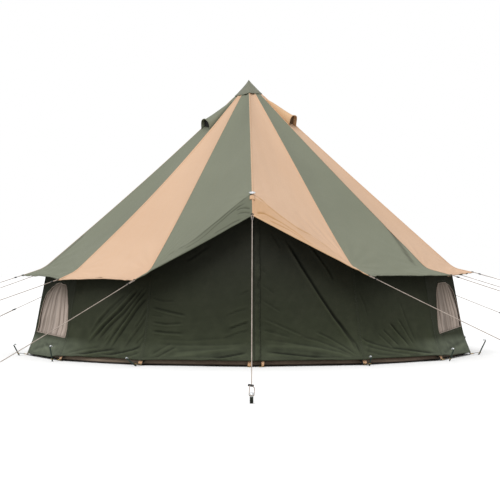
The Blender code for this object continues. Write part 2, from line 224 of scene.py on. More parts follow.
def shader_of(name, roughness, metallic=0.0, sheen=0.0, shine=0.5):
    """A material with its node tree, its shader and the shader's links."""
    made = bpy.data.materials.new(name)
    made.use_nodes = True
    shader = made.node_tree.nodes["Principled BSDF"]
    shader.inputs["Roughness"].default_value = roughness
    shader.inputs["Metallic"].default_value = metallic
    shader.inputs["Specular IOR Level"].default_value = shine
    shader.inputs["Sheen Weight"].default_value = sheen
    shader.inputs["Sheen Roughness"].default_value = 0.5
    return made, made.node_tree, shader


def add(tree, kind, sets=None, **settings):
    """A node with its settings and the values of its named inputs; a linked input is given as a socket."""
    node = tree.nodes.new(kind)
    for name, value in settings.items():
        setattr(node, name, value)
    for name, value in (sets or {}).items():
        socket = node.inputs[name]
        if isinstance(value, bpy.types.NodeSocket):
            tree.links.new(value, socket)
        else:
            socket.default_value = value
    return node


def calc(tree, operation, first, second=0.0):
    return add(tree, "ShaderNodeMath", {0: first, 1: second}, operation=operation).outputs[0]


def coordinates(tree, kind):
    return add(tree, "ShaderNodeTexCoord").outputs[kind]


def along_axis(tree, where, axis):
    return add(tree, "ShaderNodeSeparateXYZ", {"Vector": where}).outputs[axis]


def marked(tree, mark):
    """A mark that piece() gave the mesh."""
    return add(tree, "ShaderNodeAttribute", attribute_name=mark).outputs["Fac"]


def mixed(tree, share, first, second, blend="MIX"):
    """Colour mix; share, first and second are values or sockets."""
    node = add(tree, "ShaderNodeMix", data_type="RGBA", blend_type=blend)
    for index, value in ((0, share), (6, first), (7, second)):
        if isinstance(value, bpy.types.NodeSocket):
            tree.links.new(value, node.inputs[index])
        else:
            node.inputs[index].default_value = value
    return node.outputs[2]


def noise(tree, where, scale, detail=3.0, roughness=0.5, stretch=(1, 1, 1)):
    """Noise over the given coordinates, stretched for slubs and streaks."""
    spread = add(tree, "ShaderNodeMapping", {"Vector": where, "Scale": stretch})
    made = add(tree, "ShaderNodeTexNoise", {"Vector": spread.outputs[0], "Scale": scale, "Detail": detail,
                                            "Roughness": roughness})
    return made.outputs["Fac"]


def weave(tree, cut, scale, detail, roughness, long, narrow):
    """Crossed threads with slubs: noise drawn out along the warp, and along the weft."""
    warp = noise(tree, cut, scale, detail, roughness, (long, narrow, 1))
    weft = noise(tree, cut, scale, detail, roughness, (narrow, long, 1))
    return calc(tree, "ADD", warp, weft)


def banded(tree, value, low, high, to_low=0.0, to_high=1.0):
    """The value's share of the way from low to high, as a number from to_low to to_high."""
    node = add(tree, "ShaderNodeMapRange", {"Value": value, "From Min": low, "From Max": high,
                                            "To Min": to_low, "To Max": to_high})
    return node.outputs["Result"]


def bump(tree, shader, height, distance, strength, under=None):
    node = add(tree, "ShaderNodeBump", {"Height": height, "Distance": distance, "Strength": strength})
    if under is not None:
        tree.links.new(under.outputs[0], node.inputs["Normal"])
    tree.links.new(node.outputs[0], shader.inputs["Normal"])
    return node


def coated_sheet():
    """Brown coated groundsheet: faint rip weave, dust that has dried in its hollows, scuffs."""
    made, tree, shader = shader_of("groundsheet_coated", 0.62)
    where = coordinates(tree, "Object")
    dust = banded(tree, noise(tree, where, 3.0, 6.0, 0.62), 0.35, 0.7)
    fine = noise(tree, where, 45.0, 4.0, 0.6)
    colour = mixed(tree, dust, (0.145, 0.100, 0.068, 1), (0.225, 0.160, 0.112, 1))
    colour = mixed(tree, banded(tree, fine, 0.3, 0.7, 0.0, 0.25), colour, (0.08, 0.052, 0.036, 1))
    aside = along_axis(tree, where, "X")
    colour = mixed(tree, banded(tree, aside, -0.35, -0.90, 0.0, 0.85), colour, (0.235, 0.175, 0.125, 1))
    height = along_axis(tree, where, "Z")
    colour = mixed(tree, banded(tree, height, 0.020, 0.012, 0.0, 0.92), colour, (0.012, 0.010, 0.008, 1))
    tree.links.new(colour, shader.inputs["Base Color"])
    tree.links.new(banded(tree, fine, 0.3, 0.7, 0.5, 0.75), shader.inputs["Roughness"])
    bump(tree, shader, fine, 0.002, 0.4)
    return made


counts = np.arange(SIDES * TUB_COLUMNS) / TUB_COLUMNS - SIDES / 2
rows = []
for height, radius in reversed(TUB_PROFILE):
    ring = on_ring(counts, radius)
    across = counts - np.floor(counts)
    belly = np.clip((0.12 - height) / 0.12, 0, 1)
    fuller = np.exp(-((np.abs(counts) - 1.45) / 0.45) ** 2)
    push = belly * ((0.004 + 0.040 * fuller) * np.sin(math.pi * across)
                    + 0.004 * ripples(counts * 0.87, height * 0 + 0.3, 5, 0.35))
    ring = ring + unit(ring) * push[..., None]
    ring[:, 2] = height
    rows.append(ring)
for share in (1.0, 0.93, 0.84, 0.72, 0.58, 0.42, 0.26, 0.1):
    ring = on_ring(counts, TUB_FLOOR_R * share)
    ring[:, 2] = TUB_LIFT + 0.0004 * ripples(ring[:, 0], ring[:, 1], 8, 0.6)
    rows.append(ring)
tub_points = np.array(rows)
tub_faces = grid_faces(len(rows), len(counts), closed=True)
middle = len(rows) * len(counts)
last = middle - len(counts)
tub_faces += [(last + i, middle, last + (i + 1) % len(counts)) for i in range(len(counts))]
tub_uv = tub_points[..., :2] + np.stack([tub_points[..., 2], tub_points[..., 2]], -1)
groundsheet = piece("groundsheet_tray", np.concatenate([tub_points.reshape(-1, 3), [[0, 0, TUB_LIFT]]]), tub_faces,
                    coated_sheet(), np.concatenate([tub_uv.reshape(-1, 2), [[0, 0]]]))
cloth(groundsheet, TUB_THICK, ["groundsheet"])


def circle(steps):
    """Angles round a full turn."""
    return np.arange(steps) * 2 * math.pi / steps


def loop_at(centre, radius, first, second, steps):
    """Points of a circle in the plane of these two directions."""
    spin = circle(steps)[:, None]
    return centre + radius * (np.cos(spin) * first + np.sin(spin) * second)


def end_faces(count, sides):
    """The two faces that close a tube of this many rings."""
    return [tuple(range(sides))[::-1], tuple((count - 1) * sides + j for j in range(sides))]


def tube(path, radius, sides=8, closed=False):
    """Points, faces and uv of a round cord along a path; uv is length along it and way round it, in metres."""
    path = np.asarray(path, float)
    count = len(path)
    radius = np.broadcast_to(radius, count)
    if closed:
        tangent = np.roll(path, -1, 0) - np.roll(path, 1, 0)
    else:
        tangent = np.gradient(path, axis=0)
    tangent = unit(tangent)
    side = unit(np.cross(tangent[0], UP if abs(tangent[0][2]) < 0.9 else RIGHT))
    turn = circle(sides)
    rings, run, uvs = [], 0.0, []
    for i in range(count):
        side = unit(side - tangent[i] * side.dot(tangent[i]))
        rings.append(loop_at(path[i], radius[i], side, np.cross(tangent[i], side), sides))
        run += np.linalg.norm(path[i] - path[i - 1]) if i else 0.0
        uvs.append(np.stack([np.full(sides, run), turn * radius[i]], -1))
    points = np.concatenate(rings)
    faces = []
    for i in range(count if closed else count - 1):
        for j in range(sides):
            a, b = i * sides + j, i * sides + (j + 1) % sides
            c, d = ((i + 1) % count) * sides + (j + 1) % sides, ((i + 1) % count) * sides + j
            faces.append((a, b, c, d))
    if not closed:
        faces += end_faces(count, sides)
    return points, faces, np.concatenate(uvs)


def merged(parts):
    """Points, faces and uv of several shapes as one."""
    points, faces, uvs, start = [], [], [], 0
    for shape in parts:
        points.append(np.asarray(shape[0], float).reshape(-1, 3))
        faces += [tuple(i + start for i in face) for face in shape[1]]
        uvs.append(np.asarray(shape[2], float).reshape(-1, 2))
        start += len(points[-1])
    return np.concatenate(points), faces, np.concatenate(uvs)


def joined(name, parts, finish, nodes=(), marks=None):
    """Several shapes as one finished piece."""
    points, faces, uv = merged(parts)
    return settle(piece(name, points, faces, finish, uv, marks), nodes)


def curved(points, steps=8):
    """A smooth line through these points."""
    p = np.asarray(points, float)
    p = np.concatenate([[2 * p[0] - p[1]], p, [2 * p[-1] - p[-2]]])
    found = []
    for i in range(1, len(p) - 2):
        for t in np.arange(steps) / steps:
            found.append(0.5 * (2 * p[i] + (p[i + 1] - p[i - 1]) * t + (2 * p[i - 1] - 5 * p[i] + 4 * p[i + 1]
                         - p[i + 2]) * t * t + (3 * p[i] - p[i - 1] - 3 * p[i + 1] + p[i + 2]) * t ** 3))
    return np.array(found + [p[-2]])


def ribbon(path, aside, width, thickness):
    """A flat strap along a path, this wide sideways and this thick; its section has rounded edges."""
    path = np.asarray(path, float)
    tangent = unit(np.gradient(path, axis=0))
    aside = np.broadcast_to(np.asarray(aside, float), path.shape)
    aside = unit(aside - tangent * (aside * tangent).sum(1, keepdims=True))
    up = np.cross(aside, tangent)
    section = [(-0.5, -0.25), (-0.5, 0.25), (-0.42, 0.5), (0.42, 0.5), (0.5, 0.25), (0.5, -0.25), (0.42, -0.5),
               (-0.42, -0.5)]
    run = np.concatenate([[0], np.cumsum(np.linalg.norm(np.diff(path, axis=0), axis=1))])
    rings = np.stack([path + aside * (x * width) + up * (y * thickness) for x, y in section], 1)
    uvs = np.stack([np.stack([run, np.full(len(path), x * width)], -1) for x, y in section], 1)
    sides = len(section)
    faces = []
    for i in range(len(path) - 1):
        for j in range(sides):
            a, b = i * sides + j, i * sides + (j + 1) % sides
            faces.append((a, a + sides, b + sides, b))
    faces += [face[::-1] for face in end_faces(len(path), sides)]
    return rings.reshape(-1, 3), faces, uvs.reshape(-1, 2)


def woven_tape(name, dark, light, pitch=0.004):
    """Woven strap: diagonal rib along its length, worn lighter on the high threads."""
    made, tree, shader = shader_of(name, 0.8, sheen=0.15)
    where = coordinates(tree, "UV")
    ribs = add(tree, "ShaderNodeTexWave", {"Vector": where, "Scale": 1 / pitch / 6.28, "Distortion": 1.0,
                                           "Detail Scale": 3.0}, bands_direction="DIAGONAL").outputs["Fac"]
    wear_and_crease_shading = noise(tree, where, 30.0, 4.0, 0.6)
    share = calc(tree, "MULTIPLY", ribs, wear_and_crease_shading)
    tree.links.new(mixed(tree, share, dark, light), shader.inputs["Base Color"])
    bump(tree, shader, ribs, 0.0008, 0.6)
    return made


def metal(name, colour, roughness, stain, metallic=1.0, scale=90.0):
    """Metal or its paint with fine pitting, a cloudy stain and uneven gloss."""
    made, tree, shader = shader_of(name, roughness, metallic)
    where = coordinates(tree, "Object")
    cloud = banded(tree, noise(tree, where, scale / 4, 5.0, 0.6), 0.4, 0.7)
    pits = noise(tree, where, scale * 4, 3.0, 0.6)
    tree.links.new(mixed(tree, cloud, colour, stain), shader.inputs["Base Color"])
    tree.links.new(banded(tree, pits, 0.3, 0.7, max(roughness - 0.1, 0.05), roughness + 0.15),
                   shader.inputs["Roughness"])
    bump(tree, shader, pits, 0.0004, 0.35)
    return made


PEG_REACH = 2.145  # where the corner pegs enter the ground
# Height of each front peg's top, and how far it leans outward and aside. The others are alike.
PEG_TOPS = {-1: (0.066, 0.050, -0.066), -2: (0.130, 0.030, 0.007), -3: (0.100, 0.053, 0.0), 1: (0.076, 0.030, 0.001),
            2: (0.104, 0.040, 0.006), 3: (0.138, 0.066, 0.0), -4: (0.06, 0.0, 0.0)}
PEG_ROD_R = 0.0058
green_steel = metal("peg_green_steel", (0.020, 0.040, 0.034, 1), 0.42, (0.045, 0.062, 0.050, 1), 0.3)
zinc = metal("peg_head_zinc", (0.78, 0.80, 0.82, 1), 0.32, (0.55, 0.57, 0.60, 1), 0.6)
brass = metal("ring_brass", (0.52, 0.38, 0.16, 1), 0.35, (0.30, 0.20, 0.09, 1))
black_webbing = woven_tape("strap_webbing_black", (0.012, 0.013, 0.012, 1), (0.050, 0.050, 0.045, 1))
tan_webbing = woven_tape("strap_webbing_tan", (0.42, 0.24, 0.12, 1), (0.66, 0.43, 0.27, 1))

straps, tabs, rings, peg_shafts, peg_heads = [], [], [], [], []
for seam in SEAMS:
    if seam == 0:
        continue
    out, aside = directions(seam * STEP)
    height, lean, tilt = PEG_TOPS.get(seam, (0.12 + 0.02 * math.sin(seam * 2.3), 0.06, 0.0))
    sway = aside * 0.008 * math.sin(seam * 1.7)
    straps.append(ribbon(curved([out * reach + UP * rise for reach, rise in (
        (2.005, 0.045), (2.035, 0.034), (2.060, 0.020), (2.078, 0.012))]), aside, 0.028, 0.0035))
    tabs.append(ribbon(curved([out * reach + UP * rise + sway * held for reach, rise, held in (
        (2.012, 0.056, 0), (2.040, 0.050, 1), (2.062, 0.034, 1), (2.072, 0.016, 1))]), aside, 0.034, 0.003))
    ring = loop_at(out * 2.082 + UP * 0.011 + sway, 0.019, out + UP * (0.004 / 0.019), aside, 20)
    rings.append(tube(ring, 0.003, 7, closed=True))
    straps.append(ribbon(curved([out * reach + UP * rise for reach, rise in (
        (2.094, 0.010), (2.108, 0.016), (2.124, 0.019), (PEG_REACH + 0.012, 0.020))]), aside, 0.014, 0.0035))
    ring = loop_at(out * (PEG_REACH + 0.006) + UP * 0.020, 0.0125, out, aside, 20)
    rings.append(tube(ring, 0.0022, 6, closed=True))
    foot = out * PEG_REACH
    top = foot + out * lean + aside * tilt + UP * height
    axis = unit(top - foot)
    shaft = [foot, foot + (top - foot) * 0.5, top - axis * 0.014]
    hook = [top + axis * rise - out * back for rise, back in ((-0.002, 0.004), (0.004, 0.014), (-0.004, 0.024))]
    peg_shafts.append(tube(curved(shaft + hook[:1], 5), PEG_ROD_R, 9))
    peg_heads.append(tube(curved([top - axis * 0.004, *hook], 6), np.linspace(0.0066, PEG_ROD_R, 19), 9))
joined("corner_straps", straps, black_webbing)
joined("corner_tabs", tabs, tan_webbing)
joined("corner_rings", rings, brass)
joined("base_peg_shafts", peg_shafts, green_steel)
joined("base_peg_heads", peg_heads, zinc)

# ---- Centre pole and door frame -----------------------------------------------------------------
# Galvanised steel tube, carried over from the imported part: the pole stands on its foot disc and its
# spike holds the cap; the bent tube behind the door holds the peak. Only a dull spangle is added.

galvanised = metal("pole_galvanised", (0.50, 0.51, 0.53, 1), 0.38, (0.36, 0.37, 0.39, 1), 1.0, 60.0)
for name in ("centre_pole", "door_frame"):
    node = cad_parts[name]
    node.data.materials.clear()
    node.data.materials.append(galvanised)


# ---- Roof gores ---------------------------------------------------------------------------------
# Fourteen tapered cotton gores, in turn tan and green, run from the pole to a fold over the wall and
# end in a short hem. The guys pull the hem's corners out, so it hangs between them in shallow
# curves and creases gather at each corner.

APEX_Z = 2.572
KNEE = (1.92, 0.80)  # radius and height of the fold at a seam
PEAK = (1.90, 1.376)  # the same over the door
DOOR_FOLD_BOW = 0.022
DOOR_HEM_BOW = 0.003
HEM_TIPS = ((2.09, 1.197), (2.22, 0.690), (2.13, 0.710), (2.09, 0.750))
HEM_MIDDLE = (1.97, 0.700)
TOP_R = 0.03
ROOF_THICK = 0.0016
ROOF_COLUMNS = 36
SOFT_FOLD = 0.055  # the fold is rounded this far to either side of it
OVER_DOOR = (-1, 0)  # the gores over the door, by the seam on their left

# How far each seam hangs below the straight line from the cap to the fold: depth, where along it the
# slack gathers (below 1 nearer the cap), how far the fold has slipped, and the extra steepness at the cap.
SEAM_SLACK = {0: (0.010, 1.0, 0.0, 0.012), 1: (0.022, 2.6, 0.004, 0.012), 2: (0.018, 0.8, 0.014, 0.012),
              3: (0.012, 0.9, 0.004, 0.012), -1: (0.027, 2.0, 0.035, 0.012), -2: (0.078, 1.0, 0.040, 0.020),
              -3: (0.034, 0.9, 0.004, 0.024), 4: (0.022, 1.0, 0.006, 0.014), 5: (0.030, 1.1, 0.008, 0.014),
              6: (0.024, 0.9, 0.004, 0.014), 7: (0.032, 1.0, 0.006, 0.014), -4: (0.034, 0.9, 0.008, 0.020),
              -5: (0.026, 1.2, 0.004, 0.016), -6: (0.036, 1.0, 0.008, 0.014), -7: (0.032, 1.0, 0.006, 0.014)}
# How far the guys have pulled each hem tip outward and up.
TIP_SHIFT = {-4: (0.0, -0.006), -3: (0.036, -0.026), -2: (-0.028, -0.024), -1: (-0.034, -0.006), 1: (-0.028, 0.030),
             2: (0.045, 0.015), 3: (0.012, 0.004)}
SEAM_TURN = {0: math.radians(-0.25), 1: math.radians(-0.65)}  # seams that are drawn a little to the left
HEM_LIFT = {1: 0.026, 2: 0.028, 3: 0.034, -3: 0.016, -4: 0.034}  # how far the middle of a hem is drawn up


def slack(seam, radius):
    """How far this seam hangs below its straight line at a radius."""
    depth, where, slipped, steep = SEAM_SLACK[int(seam)]
    share = np.clip(np.asarray(radius, float) / KNEE[0], 0, 1)
    return depth * np.sin(math.pi * share ** where) + slipped * share ** 2 \
        + steep * (1 - np.exp(-np.asarray(radius, float) / 0.05)) * (1 - share)


def seam_foot(seam):
    """Radius and height of this seam's fold and of its hem tip."""
    count = min(abs(int(seam)), SIDES - abs(int(seam)))
    knee = PEAK if count == 0 and seam == 0 else KNEE
    tip = HEM_TIPS[min(count if seam else 0, 3)]
    shift = TIP_SHIFT.get(int(seam), (0, 0))
    return (knee[0], knee[1] - SEAM_SLACK[int(seam)][2]), (tip[0] + shift[0], tip[1] + shift[1])


def turn_of(seam):
    """Angle of a seam from the door."""
    return seam * STEP + SEAM_TURN.get(int(seam), 0.0)


def straight_line(seam, radius):
    """A point of this seam at a radius above the fold, if it were straight."""
    knee_r, knee_z = PEAK if seam == 0 else KNEE
    return around(turn_of(seam), radius, APEX_Z - (APEX_Z - knee_z) * np.asarray(radius) / knee_r)


def seam_line(seam, radius):
    """A point of this seam at a radius above the fold, as it hangs."""
    place = straight_line(seam, radius)
    place[..., 2] -= slack(seam, radius)
    return place


def folded(top, fold, edge, upper, lower, soft):
    """Cloth from top over a soft fold to an edge: points (rows, columns, 3) and distance below the fold."""
    above = np.linalg.norm(fold - top, axis=-1)
    below = np.linalg.norm(edge - fold, axis=-1)
    run = np.concatenate([-above * (1 - upper)[:, None], below * lower[:, None]])
    first = ((fold - top) / above[:, None])[None]
    second = ((edge - fold) / below[:, None])[None]
    points = fold[None] + np.where(run[..., None] < 0, first, second) * run[..., None]
    share = np.clip((run + soft) / (2 * soft), 0, 1)[..., None]
    bend = (1 - share) ** 2 * (fold[None] - first * soft) + 2 * share * (1 - share) * fold[None] \
        + share ** 2 * (fold[None] + second * soft)
    inside = (np.abs(run) < soft)[..., None]
    return np.where(inside, bend, points), run


def eased(share):
    """A share from 0 to 1 with soft ends."""
    share = np.clip(share, 0, 1)
    return share * share * (3 - 2 * share)


def crease(x, y, line, width, depth, lip=0.6, fade=0.18):
    """A pressed line in cloth through these points: a furrow of this width and depth with a raised lip beside it."""
    line = np.asarray(line, float)
    best = np.full(np.broadcast(x, y).shape, 1e9)
    signed = np.zeros_like(best)
    along = np.zeros_like(best)
    lengths = np.linalg.norm(np.diff(line, axis=0), axis=1)
    total, start = lengths.sum(), 0.0
    for (ax, ay), (bx, by), size in zip(line[:-1], line[1:], lengths):
        dx, dy = (bx - ax) / size, (by - ay) / size
        share = np.clip(((x - ax) * dx + (y - ay) * dy), 0, size)
        gap = np.hypot(x - ax - dx * share, y - ay - dy * share)
        turn = (x - ax) * dy - (y - ay) * dx
        near = gap < best
        best = np.where(near, gap, best)
        signed = np.where(near, np.sign(turn) * gap, signed)
        along = np.where(near, (start + share) / total, along)
        start += size
    furrow = -np.exp(-(signed / width) ** 2) + lip * np.exp(-((signed - 1.9 * width) / (1.3 * width)) ** 2)
    return depth * eased(np.minimum(along, 1 - along) / fade) * furrow


def next_seam(seam):
    """The seam right of this one; the last is followed by the first."""
    return seam + 1 if seam < SIDES // 2 else seam + 1 - SIDES


def gore_rest(left, across, upper, lower):
    """The gore right of this seam, smooth and with its sag but no creases."""
    seams = (left, next_seam(left))
    share = across[:, None]
    bow = (4 * across * (1 - across))[:, None]
    tops = [seam_line(seam, TOP_R) for seam in seams]
    folds = [around(turn_of(seam), *seam_foot(seam)[0]) for seam in seams]
    tips = [around(turn_of(seam), *seam_foot(seam)[1]) for seam in seams]
    top = tops[0] * (1 - share) + tops[1] * share
    fold = folds[0] * (1 - share) + folds[1] * share
    edge = tips[0] * (1 - share) + tips[1] * share
    if left in OVER_DOOR:
        fold = fold + unit(top - fold) * bow * DOOR_FOLD_BOW
        edge = edge + UP * DOOR_HEM_BOW * bow
    else:
        middle = around((left + 0.5) * STEP, HEM_MIDDLE[0], HEM_MIDDLE[1] + HEM_LIFT.get(left, 0.0))
        edge = edge + (middle - (tips[0] + tips[1]) / 2) * bow
    points, run = folded(top, fold, edge, upper, lower, SOFT_FOLD)
    count = len(upper)
    for seam, weight in zip(seams, (1 - across, across)):
        fall = seam_foot(seam)[0][0] - TOP_R
        radius = TOP_R + fall * upper
        foot_slack = slack(seam, seam_foot(seam)[0][0])
        hang = slack(seam, radius) - (slack(seam, TOP_R) * (1 - upper) + foot_slack * upper)
        points[:count, :, 2] -= hang[:, None] * weight[None]
    return points, run


# Creases of the gore right of each seam: points as (share across, metres below the fold), half width in
# metres and strength. Gores -1 and 0 are the two over the door.
TRACED_WIDTH = 0.80  # metres across that a share of 1 stands for
CREASE_DEPTH = 0.005
FRONT_CREASES = {
    -1: (([(1.110, 0.003), (1.055, -0.006), (0.977, -0.011), (0.901, 0.007), (0.831, 0.026), (0.747, 0.042),
           (0.669, 0.053), (0.591, 0.073), (0.526, 0.095), (0.441, 0.104), (0.369, 0.098), (0.259, 0.057),
           (0.150, 0.009), (0.044, -0.025)], 0.0105, 1.0),
         ([(1.087, 0.062), (0.982, 0.045), (0.910, 0.052), (0.839, 0.069), (0.755, 0.093), (0.677, 0.120),
           (0.606, 0.153), (0.526, 0.174), (0.434, 0.176), (0.329, 0.155)], 0.0095, 1.0),
         ([(1.048, 0.232), (0.953, 0.222), (0.873, 0.222), (0.786, 0.220), (0.713, 0.230)], 0.0090, 0.8),
         ([(1.142, 0.173), (1.078, 0.120), (1.017, 0.088), (0.951, 0.077)], 0.0080, 0.9),
         ([(1.147, 0.222), (1.082, 0.178), (1.020, 0.148), (0.974, 0.143)], 0.0080, 0.8)),
    0: (([(0.876, 0.010), (0.793, 0.000), (0.710, -0.004), (0.620, -0.006), (0.519, 0.026), (0.429, 0.052),
          (0.359, 0.048), (0.288, 0.042), (0.212, 0.036), (0.142, 0.024), (0.066, 0.010), (0.013, -0.012),
          (-0.050, -0.020), (-0.105, -0.004)], 0.0105, 1.4),
        ([(0.474, 0.192), (0.409, 0.174), (0.351, 0.154), (0.279, 0.145), (0.208, 0.143), (0.136, 0.146),
          (0.065, 0.147), (0.006, 0.152), (-0.055, 0.177), (-0.115, 0.225)], 0.0095, 1.3),
        ([(0.553, 0.229), (0.467, 0.213), (0.375, 0.203), (0.291, 0.190), (0.192, 0.199), (0.100, 0.207),
          (0.027, 0.217)], 0.0090, 1.0)),
    1: (([(1.00, -0.95), (0.955, -0.45), (0.915, 0.00)], 0.021, 0.85),),
    -3: (([(0.10, -0.50), (0.07, -0.20), (0.03, 0.00)], 0.018, 0.7),),
}

# The cloth over the door turns under along its first crease: share across and metres below the fold, then
# share across and how dark it turns there.
TURNED_LINE = {
    -1: ((0.12, -0.004), (0.22, 0.047), (0.31, 0.072), (0.39, 0.076), (0.45, 0.061), (0.60, 0.046), (0.74, 0.027),
         (0.89, 0.0), (1.04, -0.028)),
    0: ((0.007, 0.014), (0.15, 0.034), (0.30, 0.034), (0.456, 0.031), (0.60, 0.033), (0.765, 0.014), (0.857, -0.018)),
}
TURNED_SHARE = {-1: ((0.15, 0.2), (0.35, 0.45), (0.6, 0.9), (1.0, 1.0)),
                0: ((0.0, 1.0), (0.25, 0.6), (0.6, 0.55), (0.9, 0.3))}


def turned_under(left, x, run):
    """How far the hem over the door turns away from the light, from 0 to 1."""
    across = x / TRACED_WIDTH + 0.5
    past = (run - np.interp(across, *zip(*TURNED_LINE[left]))) / 0.012 + 0.5
    return eased(past) * np.interp(across, *zip(*TURNED_SHARE[left]))


def front_pressed(left, x, run):
    """Pressed creases of a gore: from -1 in the deepest furrow to above 0 on the lips beside it."""
    pressed = np.zeros_like(run)
    for line, thick, strength in FRONT_CREASES.get(left, ()):
        traced = [((share - 0.5) * TRACED_WIDTH, down) for share, down in line]
        pressed += crease(x, run, traced, thick, strength, 0.5, 0.12)
    return pressed


GORE_RUN = 2.62  # metres from the fold up to the point of a gore


def gore(left, across, upper, lower):
    """Finished surface of a gore: points, distance below the fold, and metres across it."""
    points, run = gore_rest(left, across, upper, lower)
    width = np.linalg.norm(points[:, -1] - points[:, 0], axis=-1)[:, None]
    if across[0] > 0 or across[-1] < 1:
        full, _ = gore_rest(left, np.array([0.0, 1.0]), upper, lower)
        width = np.linalg.norm(full[:, -1] - full[:, 0], axis=-1)[:, None]
    share = np.broadcast_to(across[None], run.shape)
    x = (share - 0.5) * width
    pinned = eased(np.minimum(share, 1 - share) / 0.05)
    upwards = np.clip(-run / GORE_RUN, 0, 1)
    sag = -0.020 * np.sin(math.pi * upwards ** 0.8) * 4 * share * (1 - share)
    sag = sag - 0.006 * np.clip(run / 0.3, 0, 1) * 4 * share * (1 - share)
    loose = 0.0028 * ripples(x, run, 100 + left, 0.42) + 0.0011 * ripples(x, run * 0.6, 200 + left, 0.13)
    loose = loose * np.clip((-run + 0.9) / 1.2, 0.35, 1) * pinned
    drawn = np.zeros_like(run)
    for corner, sign in ((0.0, 1.0), (1.0, -1.0)):
        reach_x = (share - corner) * width * sign
        for middle_run, size, amount, folds in ((0.0, 0.13, 0.0034, 15.0), (0.31, 0.16, 0.0025, 22.0)):
            reach_y = run - middle_run
            far = np.hypot(reach_x, reach_y) + 1e-6
            turn = np.arctan2(reach_y, reach_x)
            amount = amount * (0.25 if left in OVER_DOOR and (left == 0) == (corner == 0.0) else 1.0)
            drawn += amount * np.sin(folds * turn + left * 1.7 + corner * 2) * (far / size) * np.exp(1 - far / size)
    drawn *= pinned
    pressed = CREASE_DEPTH * front_pressed(left, x, run)
    points = points + outward(points) * (sag + loose + drawn + pressed)[..., None] if len(across) > 2 else points
    return points, run, x


def canvas(name, base, pale, dark, warm, shaded=None, dark_fold=(0.045, 0.045, 0.03, 1)):
    """Cotton canvas: crossed threads with slubs, cloudy fading, a little dirt and a faint warm stain. The crease mark
    paints shade in the furrows of pressed creases and a highlight on their lips. Where the cloth is marked as turned
    under, as in the hem over the door, it takes the shaded tone, which is painted shade."""
    made, tree, shader = shader_of(name, 0.86, sheen=0.04, shine=0.3)
    cut = coordinates(tree, "UV")
    solid = coordinates(tree, "Object")
    threads = weave(tree, cut, 90.0, 3.0, 0.6, 14, 1.2)
    cloud = banded(tree, noise(tree, solid, 1.1, 5.0, 0.55), 0.35, 0.68)
    speck = banded(tree, noise(tree, cut, 26.0, 5.0, 0.7), 0.52, 0.8)
    streak = banded(tree, noise(tree, cut, 4.0, 4.0, 0.6, (5, 0.6, 1)), 0.45, 0.8)
    colour = mixed(tree, cloud, base, pale)
    colour = mixed(tree, banded(tree, threads, 0.75, 1.25, 0.0, 0.30), colour, dark)
    colour = mixed(tree, banded(tree, speck, 0.0, 1.0, 0.0, 0.10), colour, dark)
    colour = mixed(tree, banded(tree, streak, 0.0, 1.0, 0.0, 0.10), colour, warm)
    crease_shading = marked(tree, "wear_and_crease_shading")
    # Painted shade in the furrows of pressed creases, and a painted highlight on the lips beside them.
    colour = mixed(tree, banded(tree, crease_shading, 0.0, -1.0, 0.0, 0.75), colour, dark_fold)
    colour = mixed(tree, banded(tree, crease_shading, 0.0, 1.0, 0.0, 0.20), colour, pale)
    if shaded:
        under = marked(tree, "turned_under")
        colour = mixed(tree, under, colour, mixed(tree, 1.0, colour, shaded, "MULTIPLY"))
    tree.links.new(colour, shader.inputs["Base Color"])
    tree.links.new(banded(tree, threads, 0.7, 1.3, 0.80, 0.93), shader.inputs["Roughness"])
    coarse = bump(tree, shader, noise(tree, cut, 9.0, 4.0, 0.6), 0.004, 0.25)
    bump(tree, shader, threads, 0.0010, 0.55, coarse)
    return made


# Each canvas ends with its shaded tone for cloth marked as turned under, painted shade; the tan's last colour is its
# painted crease shade, an orange brown.
green_canvas = canvas("canvas_green", (0.180, 0.191, 0.139, 1), (0.203, 0.214, 0.158, 1), (0.120, 0.130, 0.090, 1),
                      (0.21, 0.19, 0.12, 1), (0.70, 0.71, 0.68, 1))
tan_canvas = canvas("canvas_tan", (0.600, 0.404, 0.276, 1), (0.632, 0.436, 0.304, 1), (0.50, 0.31, 0.18, 1),
                    (0.60, 0.35, 0.17, 1), (0.91, 0.84, 0.72, 1), (0.40, 0.22, 0.07, 1))

upper_rows = np.concatenate([np.linspace(0, 0.80, 40, endpoint=False), np.linspace(0.80, 1.0, 26, endpoint=False)])
lower_rows = np.linspace(0, 1, 14)
fine_upper_rows = np.concatenate([np.linspace(0, 0.87, 34, endpoint=False),
                                  np.linspace(0.87, 1.0, 44, endpoint=False)])
fine_lower_rows = np.linspace(0, 1, 36)
full_width = np.linspace(0, 1, ROOF_COLUMNS + 1)
fine_width = np.linspace(0, 1, 113)
GORES = range(-SIDES // 2, SIDES // 2)  # each by the seam on its left


def gore_is_tan(left):
    """Whether this gore is tan: they change at every seam, from tan right of the door's seam."""
    panel = left if left >= 0 else -left - 1
    return (panel % 2 == 0) == (left >= 0)


def gore_node(left):
    """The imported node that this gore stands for."""
    return f"roof_panel_right_{left + 1}" if left >= 0 else f"roof_panel_left_{-left}"


for left in GORES:
    over_door = left in OVER_DOOR
    rows = (fine_upper_rows, fine_lower_rows) if over_door else (upper_rows, lower_rows)
    points, run, x = gore(left, fine_width if over_door else full_width, *rows)
    finish = tan_canvas if gore_is_tan(left) else green_canvas
    shift = np.array([0.37 * left, 1.3 * (left % 3)])
    uv = np.stack([x, run], -1) + shift
    # Cloth over the door that turns under takes painted shade, and the crease mark paints shade in each furrow and a
    # highlight on its lip.
    under = turned_under(left, x, run) if over_door else np.zeros_like(run)
    made = piece(gore_node(left).replace("panel", "gore"), points, grid_faces(*run.shape), finish, uv,
                 marks={"turned_under": under, "wear_and_crease_shading": np.clip(front_pressed(left, x, run), -1, 0.6)})
    cloth(made, ROOF_THICK, [gore_node(left)])


